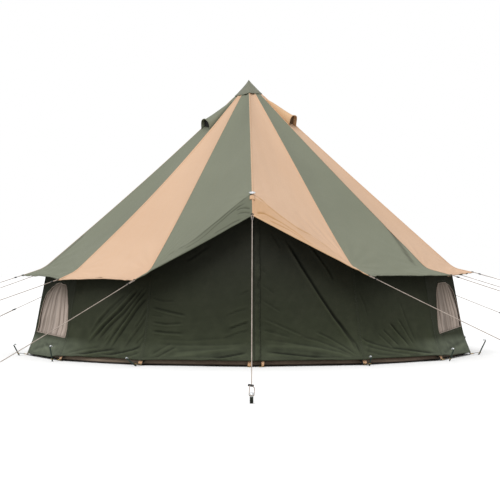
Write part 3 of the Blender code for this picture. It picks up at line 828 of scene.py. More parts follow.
# ---- Roof seams, hem and cap --------------------------------------------------------------------
# Neighbouring gores are joined by a flat-felled seam whose folded edge lies on the tan side, and the
# hem is turned up twice. Both are run down with two rows of thick thread. A quilted cap of green
# canvas covers the point where all the gores meet.

SEAM_WIDTH = 0.019
SEAM_PROUD = 0.0013
HEM_WIDTH = 0.026
STITCH_PITCH = 0.0125
DENSE = 240  # steps across a gore from which its seams are read


def stitch_tree():
    """Geometry nodes: a stitch of thread at every step along each line of the mesh."""
    tree = bpy.data.node_groups.new("stitches", "GeometryNodeTree")
    face = tree.interface
    face.new_socket("Geometry", in_out="INPUT", socket_type="NodeSocketGeometry")
    for name in ("Pitch", "Length", "Thickness"):
        face.new_socket(name, in_out="INPUT", socket_type="NodeSocketFloat")
    face.new_socket("Thread", in_out="INPUT", socket_type="NodeSocketMaterial")
    face.new_socket("Geometry", in_out="OUTPUT", socket_type="NodeSocketGeometry")
    given = tree.nodes.new("NodeGroupInput")
    lines = add(tree, "GeometryNodeMeshToCurve", {"Mesh": given.outputs["Geometry"]})
    spots = add(tree, "GeometryNodeCurveToPoints", {"Curve": lines.outputs["Curve"],
                                                    "Length": given.outputs["Pitch"]}, mode="LENGTH")
    facing = add(tree, "FunctionNodeAlignRotationToVector", {"Vector": spots.outputs["Tangent"]}, axis="Z")
    half = calc(tree, "MULTIPLY", given.outputs["Thickness"], 0.5)
    thread = add(tree, "GeometryNodeMeshCylinder", {"Vertices": 4, "Radius": half,
                                                    "Depth": given.outputs["Length"]}, fill_type="NGON")
    laid = add(tree, "GeometryNodeInstanceOnPoints", {"Points": spots.outputs["Points"],
                                                      "Instance": thread.outputs["Mesh"],
                                                      "Rotation": facing.outputs["Rotation"]})
    real = add(tree, "GeometryNodeRealizeInstances", {"Geometry": laid.outputs["Instances"]})
    dyed = add(tree, "GeometryNodeSetMaterial", {"Geometry": real.outputs["Geometry"],
                                                 "Material": given.outputs["Thread"]})
    out = tree.nodes.new("NodeGroupOutput")
    tree.links.new(dyed.outputs["Geometry"], out.inputs["Geometry"])
    return tree


stitches = stitch_tree()


def set_inputs(step, **values):
    """Sets a geometry nodes modifier's inputs by their sockets' identifiers."""
    for item in step.node_group.interface.items_tree:
        if item.item_type == "SOCKET" and item.in_out == "INPUT" and item.name in values:
            step[item.identifier] = values[item.name]


def sewn(name, lines, thread, pitch=STITCH_PITCH, length=0.0075, thickness=0.0018):
    """Rows of stitches along these lines, as one mesh."""
    points, edges = [], []
    for line in lines:
        start = len(points)
        points += np.asarray(line).tolist()
        edges += [(start + i, start + i + 1) for i in range(len(line) - 1)]
    mesh = bpy.data.meshes.new(name)
    mesh.from_pydata(points, edges, [])
    made = bpy.data.objects.new(name, mesh)
    scene.collection.objects.link(made)
    step = made.modifiers.new("stitches", "NODES")
    step.node_group = stitches
    set_inputs(step, Pitch=pitch, Length=length, Thickness=thickness, Thread=thread)
    return settle(made)


def thread_of(name, colour, pale):
    """Twisted sewing thread: fine ply lines and slight fading."""
    made, tree, shader = shader_of(name, 0.7, sheen=0.2)
    where = coordinates(tree, "Object")
    fade = banded(tree, noise(tree, where, 12.0, 4.0, 0.6), 0.3, 0.7)
    ply = noise(tree, where, 900.0, 2.0, 0.5)
    tree.links.new(mixed(tree, fade, colour, pale), shader.inputs["Base Color"])
    bump(tree, shader, ply, 0.0003, 0.4)
    return made


tan_thread = thread_of("thread_tan", (0.50, 0.33, 0.21, 1), (0.60, 0.42, 0.29, 1))
olive_thread = thread_of("thread_olive", (0.050, 0.060, 0.040, 1), (0.085, 0.095, 0.065, 1))
felled_tan = canvas("canvas_tan_felled", (0.620, 0.404, 0.262, 1), (0.650, 0.434, 0.288, 1), (0.50, 0.31, 0.18, 1),
                    (0.58, 0.34, 0.17, 1), (0.92, 0.83, 0.74, 1))


def strip_on(points, lift, back=0.0006):
    """A closed strip that follows a narrow grid on a surface: raised by lift, its underside just below it."""
    normal = outward(points)
    top, under = points + normal * lift, points - normal * back
    rows, columns = points.shape[:2]
    loop = np.concatenate([top, under[:, ::-1]], axis=1)
    faces = grid_faces(rows, 2 * columns, closed=True)
    first = list(range(2 * columns))
    faces.append(first)
    faces.append([(rows - 1) * 2 * columns + i for i in reversed(first)])
    run = np.concatenate([[0], np.cumsum(np.linalg.norm(np.diff(points[:, 0], axis=0), axis=1))])
    wide = np.linalg.norm(np.diff(points, axis=1), axis=-1)
    over = np.concatenate([np.zeros((rows, 1)), np.cumsum(wide, 1)], 1)
    flat = np.stack([over, np.broadcast_to(run[:, None], over.shape)], -1)
    return loop.reshape(-1, 3), faces, np.concatenate([flat, flat[:, ::-1]], 1).reshape(-1, 2)


seam_rows_upper = np.linspace(0.0, 1.0, 76, endpoint=False)
seam_rows_lower = np.linspace(0.0, 0.985, 12)
seam_strips, seam_lines, seam_under = [], [], []
for seam in GORES:
    before = seam - 1 if seam > -SIDES // 2 else SIDES // 2 - 1
    left_is_tan = gore_is_tan(before)
    left = before if left_is_tan else seam
    whole, _ = gore_rest(left, np.array([0.0, 1.0]), seam_rows_upper, seam_rows_lower)
    width = np.linalg.norm(whole[:, 1] - whole[:, 0], axis=-1)
    columns = [offset * SEAM_WIDTH / width for offset in (0.0, 0.25, 0.5, 0.75, 1.0)]
    shares = np.minimum(np.stack(columns, 1), 0.45)
    if left_is_tan:
        shares = 1 - shares[:, ::-1]
    fine, _, _ = gore(left, np.linspace(0, 1, DENSE + 1), seam_rows_upper, seam_rows_lower)
    spot = np.clip(shares * DENSE, 0, DENSE)
    low = np.minimum(np.floor(spot).astype(int), DENSE - 1)
    part = (spot - low)[..., None]
    rows_at = np.arange(len(fine))[:, None]
    grid = (fine[rows_at, low] * (1 - part) + fine[rows_at, low + 1] * part)[5:]
    seam_strips.append(strip_on(grid, SEAM_PROUD))
    # Over the door the seam takes the same painted shade as the turned-under hem, past its seventieth row.
    below = (np.arange(len(grid)) > 70) & (seam == 0)
    seam_under.append(np.repeat(below[:, None], 10, 1).ravel())
    normal = outward(grid)
    for column, inner in ((0, 1), (4, 3)):
        line = grid[:, column] * 0.55 + grid[:, inner] * 0.45 + normal[:, column] * (SEAM_PROUD + 0.0002)
        seam_lines.append(line)
joined("roof_seams", seam_strips, felled_tan, marks={"turned_under": np.concatenate(seam_under)})
sewn("roof_seam_stitches", seam_lines, tan_thread, pitch=0.020, length=0.012)

hem_parts = {True: [], False: []}
hem_lines = {True: [], False: []}
hem_under = {True: [], False: []}
for left in GORES:
    is_tan = gore_is_tan(left)
    points, run, x = gore(left, full_width, upper_rows, lower_rows)
    inwards = unit(points[-5] - points[-1]) * HEM_WIDTH
    back = np.stack([points[-1] + inwards * step for step in (1.0, 0.66, 0.33, 0.0)])
    hem_parts[is_tan].append(strip_on(back, 0.0016, 0.0032))
    # The hem strips over the door take the same painted shade.
    hem_under[is_tan].append(np.full(len(hem_parts[is_tan][-1][0]), float(left in OVER_DOOR)))
    normal = outward(back)
    for row, other, share in ((0, 1, 0.82), (3, 2, 0.85)):
        hem_lines[is_tan].append(back[row] * share + back[other] * (1 - share) + normal[row] * 0.0018)
door_place = [left for left in GORES if gore_is_tan(left)].index(0)
front_hem = hem_parts[True].pop(door_place)
hem_under[True].pop(door_place)
hood_tan = canvas("canvas_tan_hood", (0.590, 0.375, 0.215, 1), (0.620, 0.405, 0.240, 1), (0.50, 0.30, 0.15, 1),
                  (0.60, 0.34, 0.14, 1))
joined("roof_hem_door_tan", [front_hem], hood_tan)
for is_tan, word, finish, thread in ((True, "tan", tan_canvas, tan_thread),
                                     (False, "green", green_canvas, olive_thread)):
    joined(f"roof_hem_{word}", hem_parts[is_tan], finish,
           marks={"turned_under": np.concatenate(hem_under[is_tan])})
    sewn(f"roof_hem_stitches_{word}", hem_lines[is_tan], thread)

# Seam counts and the cap's reach there: over the door it hangs lower.
CAP_EDGE = ((-7, 0.128), (-3, 0.133), (-2, 0.134), (-1.5, 0.147), (-1, 0.162), (-0.5, 0.185), (-0.15, 0.207),
            (0, 0.214), (0.15, 0.203), (0.5, 0.172), (1, 0.142), (1.5, 0.136), (2, 0.134), (2.5, 0.132), (3, 0.125),
            (4, 0.128), (7, 0.128))
CAP_LIFT = 0.0052
CAP_THICK = 0.002


def roof_height(place):
    """Height of the hanging roof over points in plan, without its creases."""
    count = np.arctan2(place[..., 0], -place[..., 1]) / STEP
    left = np.clip(np.floor(count), -SIDES // 2, SIDES // 2 - 1).astype(int)
    height = np.zeros(left.shape)
    for seam in np.unique(left):
        following = next_seam(seam)
        a, b = around(seam * STEP, 1.0, 0.0)[:2], around((seam + 1) * STEP, 1.0, 0.0)[:2]
        mine = left == seam
        x, y = place[mine][..., 0], place[mine][..., 1]
        cross = a[0] * b[1] - a[1] * b[0]
        first, second = (x * b[1] - y * b[0]) / cross, (a[0] * y - a[1] * x) / cross
        reach = first + second
        share = second / reach
        height[mine] = seam_line(seam, reach)[..., 2] * (1 - share) + seam_line(following, reach)[..., 2] * share
    return height


cap_counts = np.arange(SIDES * 12) / 12 - SIDES / 2
cap_edge_r = np.interp(cap_counts, *zip(*CAP_EDGE))
cap_rows = []
for share in np.concatenate([[0.012, 0.03], np.linspace(0.06, 1.0, 22)]):
    ring = on_ring(cap_counts, 1.0) * (cap_edge_r * share)[:, None]
    ring[:, 2] = roof_height(ring) + CAP_LIFT
    ring[:, 2] += 0.0016 * ripples(cap_counts * 0.9, share * 3 + cap_counts * 0, 31, 1.1) * share
    ring[:, 2] += 0.003 * math.exp(-share / 0.06) - 0.0012 * max(share - 0.7, 0) / 0.3
    cap_rows.append(ring)
cap_points = np.array(cap_rows)
cap_faces = grid_faces(len(cap_rows), len(cap_counts), closed=True)
tip = len(cap_points.reshape(-1, 3))
cap_faces += [(tip, i, (i + 1) % len(cap_counts)) for i in range(len(cap_counts))]
tip_point = cap_points[0].mean(axis=0) + UP * 0.0008
cap_uv = np.concatenate([cap_points[..., :2].reshape(-1, 2), [[0, 0]]])


def quilted_canvas():
    """The cap's canvas: green cloth mottled with tan lichen-like weathering."""
    made, tree, shader = shader_of("canvas_cap", 0.88, sheen=0.12)
    where = coordinates(tree, "Object")
    blot = banded(tree, noise(tree, where, 38.0, 5.0, 0.68), 0.42, 0.66)
    fine = noise(tree, where, 240.0, 4.0, 0.6)
    colour = mixed(tree, blot, (0.150, 0.160, 0.118, 1), (0.205, 0.195, 0.140, 1))
    colour = mixed(tree, banded(tree, fine, 0.35, 0.7, 0.0, 0.35), colour, (0.095, 0.100, 0.070, 1))
    tree.links.new(colour, shader.inputs["Base Color"])
    bump(tree, shader, fine, 0.0015, 0.6)
    return made


cap = piece("apex_cap_cloth", np.concatenate([cap_points.reshape(-1, 3), [tip_point]]), cap_faces,
            quilted_canvas(), cap_uv)
cloth(cap, CAP_THICK, ["apex_cap"])
joined("apex_cap_binding", [tube(cap_points[-1], 0.0024, 7, closed=True)], green_canvas)
cap_lines = [np.concatenate([cap_points[-3], cap_points[-3][:1]]) + [0, 0, 0.0006]]
cap_thread = thread_of("thread_cap", (0.120, 0.130, 0.092, 1), (0.170, 0.180, 0.130, 1))
sewn("apex_cap_stitches", cap_lines, cap_thread, pitch=0.007, length=0.0045, thickness=0.0012)

# ---- Vent hoods ---------------------------------------------------------------------------------
# Four half-cone hoods of the gore's own canvas, sewn on round a hole high in the roof. A sprung wire
# in the binding keeps the lower mouth open, and an insect net closes the hole inside, coloured near black,
# and dark brown under the tan hoods, as painted shade in the mouth.

VENT_TOP = 0.19
VENT_FOOT = 0.448
# Each hood by the seam on its gore's left: the radius of its mouth's crown, half the mouth's width, the
# mouth's height, and its swell: below 1 the hood fills out nearer its top.
VENTS = {2: ("right_front", 0.474, 0.082, 0.124, 0.85), 4: ("right_rear", 0.474, 0.082, 0.124, 0.85),
         -3: ("left_front", 0.462, 0.092, 0.108, 1.0), -5: ("left_rear", 0.470, 0.092, 0.108, 1.0)}
VENT_NARROW = 0.012
HOOD_THICK = 0.0016
VENT_NET_THICK = 0.0012
vent_columns = 28
vent_rows = np.linspace(0, 1, 30)


def insect_net(name, dark, pale):
    """Close insect net: an uneven grain of thread and hole."""
    made, tree, shader = shader_of(name, 0.9)
    grain = noise(tree, coordinates(tree, "Object"), 420.0, 2.0, 0.5)
    tree.links.new(mixed(tree, grain, dark, pale), shader.inputs["Base Color"])
    bump(tree, shader, grain, 0.001, 0.5)
    return made


# Painted shade: the nets are near black, and dark brown under the tan hoods, to stand for the shade inside the mouths.
net_black = insect_net("vent_net_black", (0.004, 0.004, 0.004, 1), (0.020, 0.019, 0.017, 1))
net_brown = insect_net("vent_net_brown", (0.060, 0.030, 0.012, 1), (0.150, 0.082, 0.035, 1))
for left, (word, mouth_r, mouth_half, mouth_height, swell) in VENTS.items():
    middle, aside = directions((left + 0.5) * STEP)
    turn = np.pi * np.arange(vent_columns + 1) / vent_columns
    share = vent_rows[:, None]
    grow = share ** swell
    half = VENT_NARROW + (mouth_half - VENT_NARROW) * grow
    rise = VENT_NARROW + (mouth_height - VENT_NARROW) * grow * (1 - 0.10 * np.sin(math.pi * share))
    rise = rise + 0.010 * np.clip((share - 0.86) / 0.14, 0, 1) ** 2
    lean = (mouth_r - VENT_FOOT) * np.sin(turn)[None]
    reach = VENT_TOP + (VENT_FOOT + lean - VENT_TOP) * share
    arch = np.sin(turn) ** 0.8 * (1 + 0.10 * np.cos(2 * turn))
    place = middle * reach[..., None] - aside * (half * np.cos(turn)[None])[..., None]
    height = roof_height(place) + rise * arch[None]
    dent = 0.006 * ripples(turn[None] * 1.6 + share * 0, share * 3.0, 400 + left, 2.2) * np.sin(turn)[None] * share
    points = np.stack([place[..., 0], place[..., 1], height + dent - 0.004], -1)
    finish, slot, mesh_net = ((hood_tan, "roof_tan", net_brown) if gore_is_tan(left)
                              else (green_canvas, "roof_green", net_black))
    run = np.broadcast_to(share * 0.37, height.shape)
    uv = np.stack([turn[None] / math.pi * 0.28 * share, run], -1)
    hood = piece(f"vent_{word}_hood", points, grid_faces(*height.shape), finish, uv)
    cloth(hood, HOOD_THICK, [f"vent_hood_{word}"])
    sides = [tube(points[:, column] + UP * 0.003, 0.0026, 6) for column in (0, -1)]
    joined(f"vent_{word}_binding", [tube(points[-1], 0.0036, 8), *sides], finish)
    back = points[-4]
    low_middle = (back[0] + back[-1]) / 2
    inner = back * 0.985 + low_middle * 0.015
    rings = np.stack([low_middle * (1 - reach) + inner * reach for reach in (0.001, 0.35, 0.7, 1.0)])
    screen = piece(f"vent_{word}_net", rings, grid_faces(*rings.shape[:2]), mesh_net, rings[..., :2])
    cloth(screen, VENT_NET_THICK, ())

# ---- Walls --------------------------------------------------------------------------------------
# Low canvas walls hang from the fold of the roof. Below a soft bend they flare out as a skirt over
# the groundsheet's rim. Guys and pegs pull on the corners, so long creases run across the panels.

WALL_TOP_R = 1.890
WALL_BEND = (2.007, 0.18)
SKIRT = (2.07, 0.045)
WALL_THICK = 0.0016
DOOR_SPLIT = 0.046  # the zip, as a share of the panel right of the middle
PANEL_WIDTH = 0.87


def wall_rest(counts, upper, lower):
    """Wall cloth at these seam counts, smooth: points and distance below the bend."""
    top = on_ring(counts, WALL_TOP_R)
    share = counts - np.floor(counts)
    over_door = (counts > -1) & (counts < 1)
    top[:, 2] = roof_height(top * 0.9999) - 0.013 - np.where(over_door, 0.030, 0.010) * 4 * share * (1 - share)
    bend = on_ring(counts, WALL_BEND[0])
    bend[:, 2] = WALL_BEND[1]
    skirt = on_ring(counts, SKIRT[0])
    bow = 4 * (counts % 1) * (1 - counts % 1)
    low_side = np.clip((-2.05 - counts) / 0.25, 0, 1) * np.clip((counts + 3.6) / 0.4, 0, 1)
    low_side += 0.75 * np.clip((counts - 2.05) / 0.25, 0, 1) * np.clip((3.6 - counts) / 0.4, 0, 1)
    uneven = ripples(counts * PANEL_WIDTH, counts * 0, 77, 0.5)
    skirt[:, 2] = SKIRT[1] - 0.029 * low_side + 0.004 * bow + 0.004 * uneven
    return folded(top, bend, skirt, upper, lower, 0.05)


# Each crease: points as (seam count, height), half width and depth in metres, lip. A negative depth swells.
WALL_CREASES = [
    ([(-0.559, 0.043), (-0.400, 0.058), (-0.259, 0.077), (-0.118, 0.100), (-0.038, 0.116)], 0.0085, 0.0220, 0.9),
    ([(-0.831, 0.059), (-0.610, 0.085), (-0.343, 0.119), (-0.038, 0.161)], 0.0130, -0.0100, 0.6),
    ([(-0.930, 0.172), (-0.669, 0.169), (-0.347, 0.168), (-0.038, 0.186)], 0.0070, 0.0070, 0.6),
    ([(-0.768, 0.107), (-0.525, 0.129), (-0.254, 0.142), (-0.038, 0.149)], 0.0070, 0.0070, 0.6),
    ([(-0.908, 0.039), (-0.820, 0.090), (-0.754, 0.126), (-0.686, 0.158)], 0.0080, 0.0120, 0.8),
    ([(-0.919, 0.085), (-0.846, 0.129), (-0.746, 0.181)], 0.0070, 0.0080, 0.7),
    ([(-0.981, 0.549), (-0.870, 0.517), (-0.734, 0.514)], 0.0070, 0.0060, 0.7),
    ([(-0.972, 0.469), (-0.883, 0.449), (-0.766, 0.425), (-0.611, 0.398)], 0.0080, 0.0100, 0.7),
    ([(-0.965, 0.404), (-0.849, 0.389)], 0.0060, 0.0040, 0.7),
    ([(-0.959, 0.348), (-0.815, 0.329), (-0.635, 0.338)], 0.0070, 0.0080, 0.7),
    ([(-0.952, 0.276), (-0.818, 0.263), (-0.630, 0.254)], 0.0080, 0.0100, 0.7),
    ([(-0.946, 0.215), (-0.580, 0.203), (-0.193, 0.226)], 0.0070, 0.0040, 0.7),
    ([(-0.029, 0.358), (-0.121, 0.330), (-0.232, 0.293)], 0.0070, 0.0100, 0.7),
    ([(-0.029, 0.291), (-0.139, 0.266), (-0.285, 0.217)], 0.0070, 0.0060, 0.7),
    ([(-0.029, 0.465), (-0.141, 0.441), (-0.253, 0.400)], 0.0060, 0.0060, 0.7),
    ([(-0.029, 0.608), (-0.124, 0.568)], 0.0060, 0.0050, 0.7),
    ([(-0.661, 0.833), (-0.564, 0.882), (-0.428, 0.962)], 0.0100, 0.0060, 0.6),
    ([(0.305, 1.042), (0.391, 0.913), (0.476, 0.792), (0.558, 0.679), (0.648, 0.550), (0.744, 0.421), (0.839, 0.299),
      (0.923, 0.186), (0.976, 0.067)], 0.0110, 0.0210, 0.9),
    ([(0.559, 0.979), (0.653, 0.874), (0.727, 0.785), (0.797, 0.671)], 0.0090, 0.0100, 0.7),
    ([(0.789, 0.380), (0.875, 0.275), (0.957, 0.170), (0.985, 0.067)], 0.0080, 0.0100, 0.8),
    ([(0.079, 0.121), (0.286, 0.100), (0.600, 0.068), (0.886, 0.040)], 0.0080, 0.0200, 0.9),
    ([(0.080, 0.164), (0.382, 0.149), (0.655, 0.118), (0.927, 0.056)], 0.0120, -0.0100, 0.6),
    ([(0.340, 0.185), (0.568, 0.155), (0.792, 0.109), (0.944, 0.052)], 0.0070, 0.0090, 0.8),
    ([(0.436, 0.239), (0.621, 0.194), (0.797, 0.132), (0.955, 0.060)], 0.0070, 0.0090, 0.8),
    ([(0.570, 0.278), (0.717, 0.220), (0.848, 0.148), (0.967, 0.067)], 0.0070, 0.0100, 0.8),
    ([(0.083, 0.385), (0.177, 0.353), (0.344, 0.288), (0.491, 0.231)], 0.0070, 0.0070, 0.7),
    ([(0.082, 0.290), (0.203, 0.265), (0.351, 0.228)], 0.0070, 0.0060, 0.7),
    ([(0.081, 0.219), (0.229, 0.202), (0.432, 0.176)], 0.0070, 0.0060, 0.7),
    ([(0.085, 0.528), (0.161, 0.488), (0.264, 0.432)], 0.0060, 0.0060, 0.7),
    ([(0.086, 0.648), (0.144, 0.616), (0.211, 0.568)], 0.0060, 0.0050, 0.7),
    ([(0.088, 0.768), (0.146, 0.728)], 0.0060, 0.0040, 0.7),
    ([(0.173, 1.073), (0.223, 1.009), (0.271, 0.929)], 0.0080, 0.0050, 0.6),
    ([(-1.103, 0.630), (-1.229, 0.539), (-1.376, 0.423), (-1.545, 0.296), (-1.708, 0.143)], 0.0095, 0.0154, 0.9),
    ([(-1.054, 0.646), (-1.164, 0.532), (-1.298, 0.416), (-1.457, 0.306), (-1.611, 0.154)], 0.0085, 0.0126, 0.9),
    ([(-1.013, 0.630), (-1.124, 0.524), (-1.242, 0.392), (-1.393, 0.242), (-1.487, 0.109)], 0.0085, 0.0126, 0.9),
    ([(-1.001, 0.566), (-1.126, 0.459), (-1.232, 0.335), (-1.337, 0.210), (-1.409, 0.103)], 0.0095, 0.0147, 0.9),
    ([(-1.001, 0.404), (-1.077, 0.306), (-1.162, 0.215), (-1.233, 0.125)], 0.0075, 0.0084, 0.8),
    ([(-1.001, 0.477), (-1.064, 0.379), (-1.147, 0.272)], 0.0075, 0.0070, 0.8),
    ([(-1.001, 0.316), (-1.019, 0.243), (-1.112, 0.160)], 0.0075, 0.0084, 0.8),
    ([(-1.001, 0.228), (-1.049, 0.154), (-1.152, 0.103)], 0.0075, 0.0070, 0.8),
    ([(-1.277, 0.588), (-1.416, 0.496), (-1.551, 0.387), (-1.661, 0.285)], 0.0085, 0.0063, 0.7),
    ([(-1.443, 0.496), (-1.597, 0.353), (-1.709, 0.209)], 0.0085, 0.0049, 0.7),
    ([(-1.150, 0.605), (-1.261, 0.498), (-1.418, 0.373)], 0.0075, 0.0070, 0.8),
    ([(-1.290, 0.375), (-1.398, 0.266), (-1.502, 0.165)], 0.0070, 0.0077, 0.8),
    ([(-1.988, 0.023), (-1.755, 0.064), (-1.519, 0.098), (-1.306, 0.123)], 0.0085, 0.0200, 0.9),
    ([(-1.782, 0.022), (-1.499, 0.056), (-1.212, 0.101), (-1.001, 0.152)], 0.0085, 0.0200, 0.9),
    ([(-1.506, 0.020), (-1.195, 0.058), (-1.001, 0.114)], 0.0085, 0.0100, 0.8),
    ([(-1.939, 0.070), (-1.716, 0.110), (-1.513, 0.137)], 0.0075, 0.0070, 0.7),
    ([(1.333, 0.128), (1.483, 0.115), (1.645, 0.096), (1.807, 0.076), (1.945, 0.059)], 0.0085, 0.0187, 0.9),
    ([(1.001, 0.227), (1.076, 0.191), (1.217, 0.155), (1.384, 0.124)], 0.0085, 0.0119, 0.9),
    ([(1.001, 0.171), (1.156, 0.133), (1.407, 0.093), (1.666, 0.064)], 0.0075, 0.0102, 0.8),
    ([(1.001, 0.124), (1.186, 0.084), (1.480, 0.058)], 0.0075, 0.0068, 0.8),
    ([(1.404, 0.339), (1.482, 0.263), (1.561, 0.194), (1.622, 0.127)], 0.0090, 0.0153, 0.9),
    ([(1.519, 0.370), (1.605, 0.268), (1.684, 0.141)], 0.0080, 0.0102, 0.8),
    ([(1.313, 0.283), (1.404, 0.207), (1.494, 0.135)], 0.0080, 0.0110, 0.8),
    ([(1.242, 0.252), (1.333, 0.184), (1.410, 0.125)], 0.0075, 0.0085, 0.8),
    ([(1.581, 0.519), (1.621, 0.393), (1.685, 0.258), (1.737, 0.140)], 0.0090, 0.0051, 0.7),
    ([(1.041, 0.606), (1.099, 0.483), (1.133, 0.376)], 0.0090, 0.0043, 0.7),
    ([(2.28, 0.150), (2.47, 0.125)], 0.0120, 0.0050, 0.8),
    ([(-2.60, 0.140), (-2.35, 0.090)], 0.0120, 0.0050, 0.8),
]
for panel in (2, 3, 4, 5, 6, -3, -4, -5, -6, -7):
    windowed = panel in (2, 4, -3, -5)
    weak = 0.35 if windowed else 1.0
    for i in range((0 if panel in (2, -3) else 3) if windowed else 7):
        corner = RNG.uniform() < 0.5
        lean = RNG.uniform(0.16, 0.55)
        foot = RNG.uniform(0.03, 0.30)
        low = (panel + (foot if corner else 1 - foot), RNG.uniform(0.06, 0.16))
        reach = 0.12 if windowed else RNG.uniform(0.28, 0.55)
        high = (low[0] + (lean if corner else -lean), low[1] + reach)
        high = (min(max(high[0], panel + 0.03), panel + 0.97), high[1])
        middle = ((low[0] + high[0]) / 2 + RNG.uniform(-0.03, 0.03),
                  (low[1] + high[1]) / 2 + RNG.uniform(-0.03, 0.03))
        WALL_CREASES.append(([low, middle, high], RNG.uniform(0.014, 0.021), RNG.uniform(0.011, 0.020) * weak, 0.85))
    start = panel + RNG.uniform(0.02, 0.10)
    WALL_CREASES.append(([(start, RNG.uniform(0.04, 0.09)), (panel + 0.5, RNG.uniform(0.07, 0.12)),
                          (panel + RNG.uniform(0.85, 0.97), RNG.uniform(0.09, 0.16))], 0.014,
                         RNG.uniform(0.014, 0.022) * weak, 0.9))


def wall_pressed(counts, height):
    """The pressed creases alone: how far they stand out of the wall, by seam count and height."""
    x = np.broadcast_to(counts[None], height.shape) * PANEL_WIDTH
    total = np.zeros_like(height)
    for line, width, depth, lip in WALL_CREASES:
        ends = [spot[0] for spot in line]
        if max(ends) > counts.min() - 0.1 and min(ends) < counts.max() + 0.1:
            total += crease(x, height, [(count * PANEL_WIDTH, z) for count, z in line], width, depth, lip)
    return total


def wall_crumple(counts, height):
    """Small sharp creases all over the wall, closest together near the skirt."""
    x = np.broadcast_to(counts[None], height.shape) * PANEL_WIDTH
    fine = 0.55 - np.abs(ripples(x * 0.8, height, 61, 0.17))
    finer = 0.55 - np.abs(ripples(x * 0.6, height * 1.2, 62, 0.085))
    low = np.clip((0.42 - height) / 0.30, 0, 1)
    return (0.0026 * fine + 0.0016 * finer) * (0.35 + 0.65 * low)


def wall_folds(counts, points):
    """How far the wall stands out of its smooth shape."""
    height = points[..., 2]
    x = np.broadcast_to(counts[None], height.shape) * PANEL_WIDTH
    total = 0.0040 * ripples(x, height, 51, 0.40) + 0.0014 * ripples(x, height * 0.8, 52, 0.10)
    total += wall_pressed(counts, height) + wall_crumple(counts, height)
    near = np.abs(x / PANEL_WIDTH - np.round(x / PANEL_WIDTH)) * PANEL_WIDTH
    corner = np.hypot(near, height - 0.05)
    turn = np.arctan2(height - 0.05, near + 1e-9)
    total += 0.0028 * np.sin(turn * 13 + np.round(x / PANEL_WIDTH) * 2) * (corner / 0.11) * np.exp(1 - corner / 0.11) \
        * np.clip(near / 0.02, 0, 1)
    belly = 0.006 * np.sin(math.pi * np.clip((height - 0.18) / 0.6, 0, 1))
    share = x / PANEL_WIDTH - np.floor(x / PANEL_WIDTH)
    total += belly * 4 * share * (1 - share)
    windowed = np.isin(np.floor(x / PANEL_WIDTH), (-3, 2))
    total *= 1 - 0.65 * np.sin(math.pi * share) * windowed * np.clip((0.36 - height) / 0.06, 0, 1)
    low = np.clip((0.27 - height) / 0.07, 0, 1)
    total = total * (1 - low) + low * 0.010 * np.log1p(np.exp(total / 0.010))
    seam = np.clip(near / 0.03, 0, 1)
    top = np.clip((points[:1, :, 2] - height) / 0.05, 0, 1)
    return total * (0.25 + 0.75 * seam) * top


def wall(counts, upper, lower):
    points, run = wall_rest(counts, upper, lower)
    return points + outward(points) * wall_folds(counts, points)[..., None], run


def wall_canvas():
    """Olive wall canvas: painted shade darkens it towards the eaves, and the up-facing skirt is painted lighter on
    the sides; crease furrows take painted shade and their lips a painted highlight; a little dust.
    """
    made, tree, shader = shader_of("canvas_wall", 0.92, sheen=0.0, shine=0.12)
    cut = coordinates(tree, "UV")
    solid = coordinates(tree, "Object")
    threads = weave(tree, cut, 90.0, 3.0, 0.6, 14, 1.2)
    # Painted shade under the eaves: the ramp below runs from lighter near the ground to darkest at the top of the
    # wall, its edges made uneven by noise.
    height = along_axis(tree, solid, "Z")
    uneven = noise(tree, solid, 2.2, 4.0, 0.6)
    level = calc(tree, "MULTIPLY", uneven, 0.22)
    level = calc(tree, "ADD", height, level)
    ramp = add(tree, "ShaderNodeValToRGB", {"Fac": level})
    stops = ramp.color_ramp.elements
    stops[0].position, stops[0].color = 0.10, (0.058, 0.067, 0.041, 1)
    stops[1].position, stops[1].color = 0.98, (0.0290, 0.0300, 0.0225, 1)
    for position, colour in ((0.30, (0.040, 0.046, 0.027, 1)), (0.55, (0.033, 0.037, 0.0225, 1)),
                             (0.80, (0.0290, 0.0315, 0.0210, 1))):
        stop = stops.new(position)
        stop.color = colour
    # Painted light: the skirt below the bend faces up and is painted lighter, faintly at the front and most on the
    # sides.
    aside = calc(tree, "ABSOLUTE", along_axis(tree, solid, "X"))
    skirt = calc(tree, "MULTIPLY", banded(tree, height, 0.205, 0.150), banded(tree, aside, 1.35, 1.72, 0.10, 1.0))
    colour = mixed(tree, skirt, ramp.outputs["Color"], (0.125, 0.142, 0.102, 1))
    colour = mixed(tree, banded(tree, threads, 0.75, 1.25, 0.0, 0.35), colour, (0.010, 0.012, 0.008, 1))
    # Painted shade in the crease furrows, and a painted highlight on their lips, strongest on the sides.
    crease_shading = marked(tree, "wear_and_crease_shading")
    colour = mixed(tree, banded(tree, crease_shading, 0.0, -1.4, 0.0, 0.82), colour, (0.006, 0.007, 0.005, 1))
    lip_highlight_colour = mixed(tree, 1.0, colour, (1.75, 1.75, 1.70, 1), "MULTIPLY")
    lip_highlight = calc(tree, "MULTIPLY", banded(tree, crease_shading, 0.0, 1.0, 0.0, 0.85), banded(tree, aside, 0.8, 1.5, 0.60, 1.0))
    colour = mixed(tree, lip_highlight, colour, lip_highlight_colour)
    dust = banded(tree, noise(tree, cut, 7.0, 5.0, 0.65), 0.5, 0.85, 0.0, 0.08)
    colour = mixed(tree, dust, colour, (0.12, 0.11, 0.08, 1))
    tree.links.new(colour, shader.inputs["Base Color"])
    tree.links.new(banded(tree, threads, 0.7, 1.3, 0.82, 0.94), shader.inputs["Roughness"])
    coarse = bump(tree, shader, noise(tree, cut, 11.0, 4.0, 0.6), 0.004, 0.3)
    bump(tree, shader, threads, 0.0010, 0.55, coarse)
    return made


